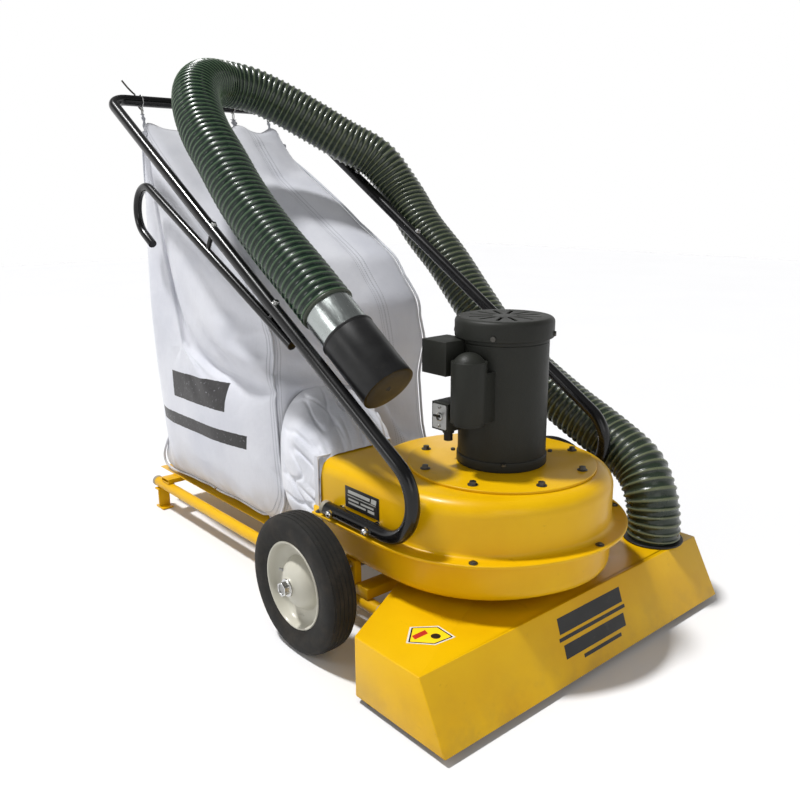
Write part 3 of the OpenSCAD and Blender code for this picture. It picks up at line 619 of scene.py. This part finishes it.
def make_lower_pan():
    """Spun lower pan: flange, straight wall, rounded bottom edge; its seam weld is not modelled."""
    sec = [(25, 214.6, FLANGE_END), (25, 211.4, FLANGE_END), (3, 211.4, DUCT_END - 3), (0, 209, DUCT_END - 1),
           (0, 158, DUCT_END - 1), (0, 152, DUCT_END - 1), (-1.2, 146, DUCT_END - 1),
           (-4, 142, DUCT_END - 1), (-8, 140, DUCT_END - 1)]
    back = [(-8, 143, DUCT_END - 1), (-3, 147, DUCT_END - 1), (-3, 214.6, DUCT_END - 1)]
    verts, faces, cols = casing_skin(sec + back)
    rows = len(sec) + len(back)
    # close the ring between the inside top and the flange
    faces += [((rows - 1) * cols + k, (rows - 1) * cols + k + 1, k + 1, k) for k in range(cols - 1)]
    ob = piece("blower_pan", verts, faces, "yellow", 42)
    ob = join("blower_pan", [ob, pan_floor()])
    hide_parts("lower_pan")


def pan_floor():
    """The pan's floor as a flat sheet with a round hole, from matching outer and inner rings."""
    outer = scroll_outline(-7.9, DUCT_END - 1)
    n = len(outer)
    verts, faces = [], []
    for z in (140, 143):
        for x, y in outer:
            verts.append(at(x, y, z))
        for x, y in outer:
            a = atan2(y, x)
            verts.append(at(80 * cos(a), 80 * sin(a), z))
    for base, flip in ((0, False), (2 * n, True)):
        for k in range(n):
            f = (base + k, base + (k + 1) % n, base + n + (k + 1) % n, base + n + k)
            faces.append(f[::-1] if flip else f)
    for k in range(n):
        faces.append((n + k, n + (k + 1) % n, 3 * n + (k + 1) % n, 3 * n + k))
    return piece("blower_pan_floor", verts, faces, "yellow", 42)


make_upper_casing()
make_lower_pan()

# ---------- CAD nodes that stay: finish, welded and softened edges ----------

FINISH = {
    "yellow": ["nozzle_head", "nozzle_inlet_ring", "motor_plate", "axle_brackets", "rail_left", "rail_right",
               "cross_bars", "blower_posts", "bag_platform", "rear_feet", "handle_bracket"],
    "motor": ["drive_end_bell", "motor_frame", "fan_end_bell", "fan_cover", "capacitor_cover", "conduit_box",
              "conduit_lid", "switch_body"],
    "black": ["handle_arm_left", "handle_arm_right", "bail", "hook_rod", "hook_ties"],
    "plastic": ["hose_port_collar", "roller_left", "roller_right", "cooling_fan", "switch_toggle",
                "cord_gland"],
    "grey": ["tube_plugs"],
    "chrome": ["axle_nuts", "handle_bolts"],
    "dark": ["roller_brackets", "casing_screws", "fan_cover_screws"],
    "steel": ["motor_shaft", "motor_bearings", "stator_core", "axle"],
    "alloy": ["impeller", "rotor_core"],
    "cream": ["hub_left", "hub_right", "rim_left", "rim_right"],
    "enamel": ["stator_windings"],
    "can": ["capacitor"],
    "print": ["nameplate"],
    "strap": ["bag_neck_strap", "bag_hangers", "filter_bag"],
    "zinc": ["hand_tube"],
    "rubber": ["hose_cap"],
    "tyre": ["tyre_left", "tyre_right"],
    "hose": ["hose"],
}
# bevel width in mm of the nodes whose edges are softened
EDGE = {"nozzle_head": 2.2, "motor_plate": 1.2, "fan_cover": 1.5, "conduit_box": 2.5, "conduit_lid": 1.2,
        "switch_body": 3, "capacitor_cover": 3, "handle_bracket": 1.5, "axle_nuts": 0.8, "tube_plugs": 1.2,
        "bag_platform": 0.7, "rear_feet": 1.5, "cross_bars": 0.8, "blower_posts": 1.5, "axle_brackets": 2,
        "drive_end_bell": 2.5, "fan_end_bell": 2, "casing_screws": 0.5, "handle_bolts": 0.6,
        "nozzle_inlet_ring": 0.8, "hook_rod": 1.6, "roller_left": 1.5,
        "roller_right": 1.5, "cord_gland": 0.7, "switch_toggle": 0.8, "nameplate": 0.3,
        "hose_port_collar": 1.2, "hose_cap": 3, "hand_tube": 0.5}


def smooth_group():
    """Geometry nodes: smooth faces, with edges over 32 degrees kept sharp."""
    g = bpy.data.node_groups.new("smooth_by_angle", "GeometryNodeTree")
    g.interface.new_socket("Geometry", in_out="INPUT", socket_type="NodeSocketGeometry")
    g.interface.new_socket("Geometry", in_out="OUTPUT", socket_type="NodeSocketGeometry")
    a, b = g.nodes.new("NodeGroupInput"), g.nodes.new("NodeGroupOutput")
    faces = g.nodes.new("GeometryNodeSetShadeSmooth")
    edges = g.nodes.new("GeometryNodeSetShadeSmooth")
    edges.domain = "EDGE"
    edges.inputs["Shade Smooth"].default_value = False
    angle = g.nodes.new("GeometryNodeInputMeshEdgeAngle")
    over = g.nodes.new("ShaderNodeMath")
    over.operation = "GREATER_THAN"
    over.inputs[1].default_value = radians(32)
    g.links.new(angle.outputs[0], over.inputs[0])
    g.links.new(over.outputs[0], edges.inputs["Selection"])
    g.links.new(a.outputs[0], faces.inputs[0])
    g.links.new(faces.outputs[0], edges.inputs[0])
    g.links.new(edges.outputs[0], b.inputs[0])
    return g


SMOOTH = smooth_group()


def finish_nodes():
    for mat, names in FINISH.items():
        for n in names:
            ob = NODES[n]
            ob.data.materials.clear()
            ob.data.materials.append(M[mat])
            weld = ob.modifiers.new("weld", "WELD")
            weld.merge_threshold = 0.00002
            if n in EDGE:
                bev = ob.modifiers.new("bevel", "BEVEL")
                bev.width = EDGE[n] / 1000
                bev.segments = 3
                bev.limit_method = "ANGLE"
                bev.angle_limit = radians(38)
                bev.use_clamp_overlap = True
            mod = ob.modifiers.new("smooth", "NODES")
            mod.node_group = SMOOTH


finish_nodes()

# ---------- light and floor ----------

def make_stage():
    me = bpy.data.meshes.new("floor")
    corners = ((-9, -9), (9, -9), (9, 9), (-9, 9))
    me.from_pydata([(x, y, -0.0006) for x, y in corners], [], [(0, 1, 2, 3)])
    floor = add_object("floor", me)
    s = Shader("floor_paper", lin(222, 222, 223), 0.8, Specular_IOR_Level=0.2)
    s.color(s.mix(s.noise(1.5, 2), lin(222, 222, 223), lin(219, 219, 220)))
    me.materials.append(s.mat)
    world = bpy.data.worlds.new("studio")
    bpy.context.scene.world = world
    world.use_nodes = True
    nodes, links = world.node_tree.nodes, world.node_tree.links
    back = nodes["Background"]
    sep = nodes.new("ShaderNodeSeparateXYZ")
    links.new(nodes.new("ShaderNodeTexCoord").outputs["Generated"], sep.inputs[0])
    fade = nodes.new("ShaderNodeMapRange")
    fade.interpolation_type = "SMOOTHSTEP"
    links.new(sep.outputs[2], fade.inputs["Value"])
    for key, value in (("From Min", 0.26), ("From Max", 0.58), ("To Min", 1), ("To Max", 0.20)):
        fade.inputs[key].default_value = value
    links.new(fade.outputs["Result"], back.inputs["Strength"])
    back.inputs["Color"].default_value = (1, 1, 1, 1)
    aim = Vector((0, -0.1, 0.45))
    for kind, name, loc, size, power in (("SUN", "key", (-0.95, 1.30, 4.2), radians(6), 3.6),
                                         ("AREA", "front", (-1.2, -3.4, 2.2), 1.8, 14),
                                         ("AREA", "strip", (-2.8, 0.6, 1.9), 0.7, 9)):
        light = bpy.data.lights.new(name, kind)
        light.energy = power
        setattr(light, "angle" if kind == "SUN" else "size", size)
        ob = add_object(name, light)
        ob.location = loc
        ob.rotation_euler = (aim - Vector(loc)).to_track_quat("-Z", "Y").to_euler()
    bpy.context.scene.view_settings.view_transform = "Standard"


make_stage()

# ---------- filter bag ----------

def bag_material():
    """Bag cloth: weave and stitches follow the cut pattern (UV), the printed bars follow place."""
    s = Shader("bag_cloth", lin(214, 215, 221), 0.82, Sheen_Weight=0.2, Sheen_Roughness=0.5)

    def uv(layer):
        sep = s.node("ShaderNodeSeparateXYZ")
        s.link(s.node("ShaderNodeUVMap", uv_map=layer).outputs[0], sep.inputs[0])
        return sep.outputs[0], sep.outputs[1]

    u, v = uv("cut")
    d, run = uv("seam")
    turn = tau / 0.0024
    weave = s.add(s.math("SINE", s.mul(u, turn)),
                   s.math("SINE", s.mul(v, turn)))
    slub = s.ramp(s.noise(240, 3, 0.6, (1, 1, 0.12)), 0.5, 0.8)
    tone = s.mix(s.ramp(s.noise(4.5, 6), 0.35, 0.72), lin(206, 207, 213), lin(188, 190, 199))
    body = s.mix(s.mul(slub, 0.3), tone, lin(188, 189, 196))
    soot = s.mul(s.ramp(s.noise(55, 9, 0.78), 0.62, 0.80), 0.35)
    body = s.mix(soot, body, lin(128, 124, 118))
    low = s.mul(s.ramp(s.axis(2), 0.20, 0.09), s.ramp(s.noise(16, 6), 0.3, 0.7))
    body = s.mix(s.mul(low, 0.55), body, lin(158, 138, 96))
    # rows of stitches beside each seam
    row = s.add(s.math("COMPARE", d, 0.0075, 0.0009), s.math("COMPARE", d, 0.0135, 0.0009))
    dash = s.math("GREATER_THAN", s.math("SINE", s.mul(run, tau / 0.0052)), -0.45)
    stitch = s.math("MULTIPLY", row, dash, clamp=True)
    body = s.mix(s.mul(stitch, 0.75), body, lin(150, 152, 160))
    # two plain printed bars on the right-hand side
    mark = None
    for y0, y1, z0, z1 in BARS:
        edge = s.mul(s.math("SUBTRACT", s.noise(120, 6), 0.5), 0.003)
        y = s.add(s.axis(1), edge)
        z = s.add(s.axis(2), edge)
        box = s.math("GREATER_THAN", y, y0)
        for op, a, b in (("LESS_THAN", y, y1), ("GREATER_THAN", z, z0), ("LESS_THAN", z, z1)):
            box = s.mul(box, s.math(op, a, b))
        mark = box if mark is None else s.math("MAXIMUM", mark, box)
    mark = s.mul(mark, s.math("LESS_THAN", s.axis(0), -0.15))
    ink = s.mul(mark, s.ramp(s.noise(150, 6, 0.7), 0.22, 0.40))
    s.color(s.mix(ink, body, lin(36, 34, 35)))
    s.rough(s.noise(30, 4), 0.74, 0.92)
    s.bump(s.noise(22, 6, 0.62), 0.005, 0.30)
    s.bump(s.noise(8, 3, 0.5, (1, 1, 0.5)), 0.010, 0.25)
    s.bump(stitch, 0.0007, 0.8)
    s.bump(weave, 0.00014, 0.5)
    return s.mat


BARS = [(0.195, 0.415, 0.330, 0.392), (0.125, 0.505, 0.258, 0.288)]
M["bag"] = bag_material()

BAG_SIDE = [  # outline of the side panel, (y, z, corner radius), from the bottom rear, going up
    (1022, 92, 34), (1026, 970, 22), (760, 818, 400), (526, 682, 70), (446, 580, 80), (434, 480, 120),
    (440, 380, 300), (424, 240, 200), (408, 150, 60), (446, 92, 40)]
BAG_MID, BAG_HALF = 8, 210


def rounded_outline(corners, step):
    """Closed outline through rounded corners, evenly spaced; starts in the middle of the bottom."""
    pts, n = [], len(corners)
    for i, (y, z, r) in enumerate(corners):
        p = Vector((y, z))
        a = (Vector(corners[i - 1][:2]) - p)
        b = (Vector(corners[(i + 1) % n][:2]) - p)
        ua, ub = a.normalized(), b.normalized()
        half = acos(max(-1, min(1, ua.dot(ub)))) / 2
        cut = min(r / tan(half), a.length * 0.45, b.length * 0.45)
        for k in range(9):
            t = k / 8
            pts.append((p + ua * cut) * (1 - t) ** 2 + p * 2 * t * (1 - t) + (p + ub * cut) * t * t)
    start = (Vector(corners[-1][:2]) + Vector(corners[0][:2])) / 2
    line = [Vector((start.x, start.y, 0))] + [Vector((p.x, p.y, 0)) for p in pts]
    line.append(line[0].copy())
    even, length = spaced(line, step)
    return [(p.x, p.y) for p in even[:-1]], length


def bag_mesh():
    outline, around = rounded_outline(BAG_SIDE, 16.5)
    n, cols, rings = len(outline), 25, 16
    cy, cz = middle(outline)
    verts, faces, cut, seam = [], [], [], []

    def ring(x, k):
        out = []
        for y, z in outline:
            out.append(len(verts))
            y, z = cy + (y - cy) * k, cz + (z - cz) * k
            # below the handle the left side has room to belly out
            below = max(0, min(1, (682 + 0.62 * (y - 526) - z) / 160))
            verts.append(at(x + 32 * below * max(0, (x - BAG_MID) / BAG_HALF), y, z))
        return out

    loops = []
    for j in range(cols):
        t = -1 + 2 * j / (cols - 1)
        loops.append(ring(BAG_MID + BAG_HALF * t, 1 - 0.028 * abs(t) ** 8))
    step = around / n
    for j in range(cols - 1):
        x0, x1 = (BAG_MID + BAG_HALF * (-1 + 2 * q / (cols - 1)) for q in (j, j + 1))
        for i in range(n):
            k = (i + 1) % n
            faces.append((loops[j][i], loops[j][k], loops[j + 1][k], loops[j + 1][i]))
            s0, s1 = i * step, (i + 1) * step
            cut.append([(s0, x0), (s1, x0), (s1, x1), (s0, x1)])
            seam.append([(min(BAG_HALF - abs(x - BAG_MID), abs(x - SEAM_X)), s) for s, x in
                         ((s0, x0), (s1, x0), (s1, x1), (s0, x1))])
    for side, edge in ((-1, loops[0]), (1, loops[-1])):
        turn = 1 if side < 0 else -1
        prev, pk, pd = edge, 0.972, 0
        for r in range(1, rings):
            f = 1 - r / rings
            k = 0.972 * f
            puff = 9 * (1 - f * f)
            cur = ring(BAG_MID + side * (BAG_HALF + puff), k)
            dist = (1 - f) * 280
            for i in range(n):
                m = (i + 1) % n
                q = (prev[i], cur[i], cur[m], prev[m])
                faces.append(q[::turn])
                c = [((outline[a][0] - cy) * kk, (outline[a][1] - cz) * kk) for a, kk in
                     ((i, pk), (i, k), (m, k), (m, pk))]
                w = [(pd, i * step), (dist, i * step), (dist, (i + 1) * step), (pd, (i + 1) * step)]
                cut.append(c[::turn])
                seam.append(w[::turn])
            prev, pk, pd = cur, k, dist
        mid = len(verts)
        verts.append(at(BAG_MID + side * (BAG_HALF + 9), cy, cz))
        for i in range(n):
            m = (i + 1) % n
            q = (prev[i], mid, prev[m])
            faces.append(q[::turn])
            c = [((outline[i][0] - cy) * pk, (outline[i][1] - cz) * pk), (0, 0),
                 ((outline[m][0] - cy) * pk, (outline[m][1] - cz) * pk)]
            cut.append(c[::turn])
            seam.append([(pd, 0)] * 3)
    me = bpy.data.meshes.new("filter_bag_cloth")
    me.from_pydata([tuple(v) for v in verts], [], faces)
    for name, data in (("cut", cut), ("seam", seam)):
        layer = me.uv_layers.new(name=name)
        for poly, values in zip(me.polygons, data):
            for li, value in zip(poly.loop_indices, values):
                layer.data[li].uv = (value[0] / 1000, value[1] / 1000)
    return add_object("filter_bag_cloth", me), loops


SEAM_X = 100
HANG = (-178, 72, 178)


def in_mm(v):
    """A vertex's place in the millimetres that at() takes."""
    return v.co.x * 1000, (v.co.y - MID_Y) * 1000, v.co.z * 1000


def settle(ob, frames_n, cap, pin, **settings):
    """Runs Cloth on ob, limits how far any point may go, and writes the result back."""
    scene = bpy.context.scene
    group = ob.vertex_groups.new(name="pin")
    for i, w in pin.items():
        group.add([i], w, "REPLACE")
    cloth = ob.modifiers.new("cloth", "CLOTH")
    s = cloth.settings
    s.vertex_group_mass = "pin"
    for key, value in settings.items():
        setattr(s, key, value)
    s.effector_weights.gravity = 0.35
    cloth.collision_settings.use_collision = False
    cloth.collision_settings.use_self_collision = False
    cloth.point_cache.frame_start, cloth.point_cache.frame_end = 1, frames_n
    start = [v.co.copy() for v in ob.data.vertices]
    for f in range(1, frames_n + 1):
        scene.frame_set(f)
    got = ob.evaluated_get(bpy.context.evaluated_depsgraph_get()).data
    moved = []
    for a, v in zip(start, got.vertices):
        d = v.co - a
        if d.length > cap:
            d = d * (cap / d.length)
        moved.append(a + d)
    ob.modifiers.remove(cloth)
    ob.vertex_groups.remove(group)
    scene.frame_set(1)
    for v, co in zip(ob.data.vertices, moved):
        v.co = co


def make_bag():
    ob, loops = bag_mesh()
    pin = {}
    for v in ob.data.vertices:
        x, y, z = in_mm(v)
        w = 0
        if z < 96:
            w = 1
        if y > 985 and z > 915:
            for hx in HANG:
                d = hypot(x - hx, (y - 1016) * 0.7)
                w = max(w, 1 if d < 16 else 0)
        if y < 452 and -186 < x < 52 and z < 392:
            w = 1
        if w > 0:
            pin[v.index] = w
    # slack between the hanging points, gathered creases below them
    for v in ob.data.vertices:
        x, y, z = in_mm(v)
        if z > 96:
            wob = noise.noise(v.co * 7) * 5 + noise.noise(v.co * 17) * 2
            v.co += Vector((0.4, 0.6, 0.3)) * wob / 1000
        if y > 800 and z > 700:
            near = min(abs(x - hx) for hx in HANG)
            drop = (1 - exp(-(near / 45) ** 2)) * exp(-((1016 - y) / 120) ** 2) * 7
            ear = exp(-(near / 22) ** 2) * exp(-((1026 - y) / 40) ** 2) * 20
            v.co.z += (ear - drop) / 1000
            fold = cos(x / 11) * exp(-(near / 40) ** 2)
            fold = fold * exp(-(z - 970) ** 2 / 150 ** 2) * 4.5
            v.co.y -= fold / 1000
    settle(ob, 26, 0.040, pin, quality=6, mass=0.25, tension_stiffness=12,
           compression_stiffness=12, shear_stiffness=3, bending_stiffness=0.35,
           use_pressure=True, uniform_pressure_force=2.6, air_damping=1.5)
    # the top seam pulls in, and the piped seams stay a little proud of the dips beside them
    for v in ob.data.vertices:
        x, y, z = in_mm(v)
        if y < 960 and z > 600 + (y - 505) * 0.6 - 10 and y > 470:
            v.co -= Vector((0, -0.5, 0.86)) * 0.006 * exp(-((x - SEAM_X) / 10) ** 2)
    me = ob.data
    me.materials.append(M["bag"])
    edges = [[me.vertices[i].co.copy() for i in loops[j]] for j in (0, -1)]
    shade(me, 180)
    subdivide(ob)
    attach(ob, "chassis")
    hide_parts("filter_bag")
    for tag, edge, side in (("right", edges[0], -1), ("left", edges[1], 1)):
        proud = Vector((side * 0.0015, 0, 0))
        line = catmull([p + proud for p in edge] + [edge[0] + proud], 3)
        sweep("bag_piping_" + tag, line[:-2], 0.0030, "piping", 8)


make_bag()


def make_neck():
    """Gathered sleeve from the strap on the duct to the bag's front: pleats that fan out and fade."""
    n, rows = 288, 34
    verts = []
    for i in range(rows):
        t = i / (rows - 1)
        y = 232 + 204 * t ** 1.08
        round_off = sin(pi * t)
        cx, hw = -155 + 75 * t, 87.5 + 32.5 * t + 10 * round_off
        cz, hh = 226 + 22 * t, 88.5 + 62 * t ** 0.8 + 7 * round_off
        power = 5 - 2.2 * min(1, t * 2)
        for k in range(n):
            a = tau * k / n
            c, s = cos(a), sin(a)
            r = (abs(c) ** power + abs(s) ** power) ** (-1 / power)
            # pleats start at the strap, each with its own depth and length
            own = noise.noise(Vector((c * 3.7, s * 3.7, 9)))
            reach = 0.34 + 0.30 * own
            deep = (6.5 + 5 * own) * exp(-(t / reach) ** 2) * min(1, t / 0.05 + 0.12)
            drift = noise.noise(Vector((c * 2.3, s * 2.3, 3.1))) * 3 + t * 0.9
            pleat = abs(sin(a * 13 + drift)) ** 0.7
            puff = 13 * noise.noise(Vector((c * 2.1 + 5, s * 2.1, t * 2))) * round_off
            line = abs(noise.noise(Vector((c * 3.1, s * 3.1 + 7, t * 1.6))))
            crease = -7 * max(0, 1 - line / 0.10) * round_off
            off = deep * (pleat - 0.35) + puff + crease
            x = cx + (hw + off) * r * c
            z = cz + (hh + off) * r * s
            verts.append(at(max(x, -264), y, max(z, 95)))
    ob = piece("bag_neck_cloth", verts, grid_faces(rows, n), "strap", 180)
    subdivide(ob)


make_neck()


# ---------- bag hangers ----------

HANGER_Y, BAR_Z, TUBE_R = 1036, 1013.3, 12.7


def ring_path(x, y, z, r, n=40):
    return [at(x, y + r * cos(tau * k / n), z + r * sin(tau * k / n))
            for k in range(n + 1)]


def make_hangers():
    """Wire rings round the bail's cross bar, snap hooks and cloth tabs down to the bag."""
    for i, hx in enumerate(HANG):
        tag = str(i + 1)
        ob = sweep("hanger_ring_" + tag, ring_path(hx, HANGER_Y, BAR_Z, TUBE_R + 1.5), 0.0014, "steel", 10)
        if i == 0:
            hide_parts("bag_hangers")
        hook = [(0, 0), (3.4, -3), (4.2, -8), (3, -15), (0, -18), (-3, -15), (-4.2, -8), (-3.4, -3), (0, 0)]
        line = catmull([at(hx + 0.4, HANGER_Y - 2 + u, BAR_Z - 13 + v) for u, v in hook], 6)
        sweep("snap_hook_" + tag, line, 0.0013, "steel", 10)
        wide = 9 if i == 1 else 5
        tab = [(HANGER_Y - 2, 984), (HANGER_Y - 5, 978), (1027, 966), (1026, 950), (1025, 936)]
        mid = catmull([at(hx, y, z) for y, z in tab], 6)
        verts = []
        for k, p in enumerate(mid):
            half = (wide * (0.75 + 0.25 * sin(k * 0.9 + i))) / 1000
            for sx, sy in ((-1, -1), (1, -1), (1, 1), (-1, 1)):
                verts.append(p + Vector((sx * half, sy * 0.0008, 0)))
        faces = grid_faces(len(mid), 4) + [row_face(0, 4, True), row_face(len(mid) - 1, 4)]
        piece("bag_tab_" + tag, verts, faces, "piping", 60)
    # the dark steel hook whose end stands up over the bar at the corner
    x0 = HANG[0] - 12
    end = catmull([at(x0 + u, HANGER_Y + v, BAR_Z + w) for u, v, w in
                   ((18, 5, -22), (12, 14, -12), (6, 15, 6), (0, 6, 15.5), (-8, -4, 17), (-20, -4, 28),
                    (-32, 0, 44))], 8)
    sweep("hanger_hook_end", end, 0.0021, "dark", 10)


make_hangers()

# ---------- labels and plain graphics ----------


def surface(node, start, aim):
    """Where a ray meets a CAD node, and the face normal there."""
    ob = NODES[node]
    inv = ob.matrix_world.inverted()
    _, p, n, _ = ob.ray_cast(inv @ start, (inv.to_3x3() @ Vector(aim)).normalized())
    return ob.matrix_world @ p, (ob.matrix_world.to_3x3() @ n).normalized()


def scaled(outline, k):
    cx, cy = middle(outline)
    return [(cx + (a - cx) * k, cy + (b - cy) * k) for a, b in outline]


def slanted(x0, x1, y0, y1, lean):
    return [(x0 + y0 * lean, y0), (x1 + y0 * lean, y0), (x1 + y1 * lean, y1), (x0 + y1 * lean, y1)]


def make_labels():
    # kite-shaped caution plate on the nozzle's top: white rim, black line, yellow field, red bar
    p, n = surface("nozzle_head", at(-292, -112, 250), (0, 0, -1))
    u = (Vector((1, 0, 0)) - n * n.x).normalized()
    v = n.cross(u)
    kite = [(-36, 4), (-6, -30), (34, -34), (37, 8), (0, 36)]
    for tag, k, h, mat in (("rim", 1, 0.30, "label"), ("line", 0.91, 0.38, "print"),
                           ("field", 0.83, 0.46, "label_yellow")):
        plate("caution_" + tag, scaled(kite, k), p, u, v, h, mat)
    plate("caution_bar", slanted(-20, 8, 2, 13, 0.3), p, u, v, 0.56, "red")
    plate("caution_mark", arc(12, -12, 8, 0, 345, 24), p, u, v, 0.56, "print")
    # four slanted bars on the nozzle's front
    p, n = surface("nozzle_head", at(8, -500, 66), (0, 1, 0))
    u = Vector((1, 0, 0))
    v = n.cross(u)
    bars = [slanted(-88, 88, 14, 40, 0.18), slanted(-92, 92, 3, 9, 0.18), slanted(-84, 84, -26, -4, 0.18),
            slanted(-40, 66, -38, -32, 0.18)]
    for i, shape in enumerate(bars, 1):
        plate("front_bar_%d" % i, shape, p, u, v, 0.3, "print")
    # data plate on the duct: black field with plain silver bars
    lo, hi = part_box("nameplate")
    p = Vector((lo.x, (lo.y + hi.y) / 2, (lo.z + hi.z) / 2))
    u, v = Vector((0, -1, 0)), Vector((0, 0, 1))
    plate("data_plate_field", rounded_rect(92, 37, 3), p, u, v, 0.35, "print")
    bars = ((-40, 22, 8, 14, 0.15), (26, 40, 6, 15, 0.15), (-40, 40, 3, 4.2, 0), (-38, -8, -5, -1.5, 0),
            (-2, 34, -5, -1.5, 0), (-38, 12, -12, -8.5, 0), (18, 36, -13, -8, 0))
    for i, bar in enumerate(bars, 1):
        plate("data_plate_bar_%d" % i, slanted(*bar), p, u, v, 0.55, "silver")
    # blank rating plate on the back of the motor, bent round the frame
    verts = []
    for r in (83.2, 84):
        for z in (400, 446):
            for k in range(13):
                a = radians(64 + 42 * k / 12)
                verts.append(at(r * cos(a), r * sin(a), z))
    m = 13
    faces = grid_faces(2, m, False) + [tuple(2 * m + i for i in f)[::-1] for f in grid_faces(2, m, False)]
    rim = list(range(m)) + list(range(2 * m - 1, m - 1, -1))
    for k in range(2 * m):
        a, b = rim[k], rim[(k + 1) % (2 * m)]
        faces.append((a, b, 2 * m + b, 2 * m + a))
    piece("rating_plate", verts, faces, "silver", 60)


make_labels()

# ---------- bolts, screws, washers and welds ----------


def bolt(name, p, axis, r, h, mat, washer=1.5):
    """Hexagon head with a chamfered top on a washer."""
    turn = Vector(axis).normalized()
    head = [(r, washer), (r, washer + h - r * 0.12), (r * 0.86, washer + h), (0, washer + h)]
    ring = [(r * 1.35, -0.1), (r * 1.35, washer * 0.8), (r * 1.28, washer), (0, washer)]
    join(name, [lathe(name, head, p, turn, mat, 6, False, 20),
                lathe(name + "_washer", ring, p, turn, mat, 32)])


def screw(name, p, axis, r, mat="dark"):
    """Low round head with a recess."""
    lathe(name, [(r, -0.2), (r, 0.5 * r), (r * 0.8, 0.8 * r), (r * 0.45, 0.92 * r), (r * 0.38, 0.5 * r),
                 (0, 0.45 * r)], p, axis, mat, 24)


def make_fasteners():
    # conduit box lid, on the side away from the nozzle, and the switch plate
    for i, (x, z) in enumerate(((-117, 491), (-65, 491), (-117, 541), (-65, 541)), 1):
        screw("conduit_screw_%d" % i, at(x, 83, z), (0, 1, 0), 3)
    plate("switch_plate", rounded_rect(34, 44, 3), at(-116, 42, 411), (0, -1, 0), (0, 0, 1), 1.2,
          "steel", 0.3)
    for i, z in enumerate((394, 428), 1):
        screw("switch_screw_%d" % i, at(-117.2, 42, z), (-1, 0, 0), 2.6, "steel")
    lathe("switch_collar", [(7.5, -0.2), (7.5, 2), (6.6, 2.6), (6.2, 2.6), (6.2, -0.2)],
          at(-117.2, 42, 411), (-1, 0, 0), "chrome", 24, True)
    # long tie bolts of the motor: heads at its lower end bell
    for i in range(4):
        a = radians(45 + 90 * i)
        lathe("tie_bolt_%d" % (i + 1), [(4.2, 0), (4.2, 3.5), (3.6, 4.2), (0, 4.2)],
              at(88.5 * cos(a), 88.5 * sin(a), 333), (0, 0, 1), "dark", 6, False, 20)
    # bolts on the handle tubes; the right-hand pair holds the hooked rod's spacers
    tilt = radians(31.8)
    up = (0, -sin(tilt), cos(tilt))
    for tag, x, places in (("right", -257, (345, 566)), ("left", 257, (520, 750))):
        for i, y in enumerate(places, 1):
            z = 303.5 + (y - 28) * tan(tilt) + 72 / cos(tilt)
            bolt("tube_bolt_%s_%d" % (tag, i), at(x, y, z) + Vector(up) * 0.0124, up, 5.2, 4.6, "chrome")


make_fasteners()


WELD_R, WELD_RIPPLE = 0.0024, 0.0032
RAIL_LO, RAIL_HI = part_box("rail_right")
RAIL_X = abs(RAIL_LO.x + RAIL_HI.x) * 500
RAIL_Z = (RAIL_LO.z + RAIL_HI.z) * 500


def weld(name, pts):
    """A painted weld bead: a row of overlapping ripples along the line."""
    def bead(s, a):
        return WELD_R * (1 + 0.16 * sin(tau * s / WELD_RIPPLE + 0.8 * sin(a)))

    sweep(name, spaced(catmull(pts, 6), 0.0007)[0], bead, "yellow", 10)


def make_welds():
    for side, tag in ((1, "left"), (-1, "right")):
        # rail to the cross bars
        for i, y in enumerate((440, 930)):
            for j, dy in enumerate((-8, 8)):
                x = side * (RAIL_X - 10.5)
                weld("rail_weld_%s_%d_%d" % (tag, i + 1, j + 1),
                     [at(x + side * 2, y + dy, RAIL_Z + 9.5), at(x, y + dy * 1.25, RAIL_Z + 6.5),
                      at(x - side * 1.5, y + dy * 1.3, RAIL_Z + 1)])


make_welds()
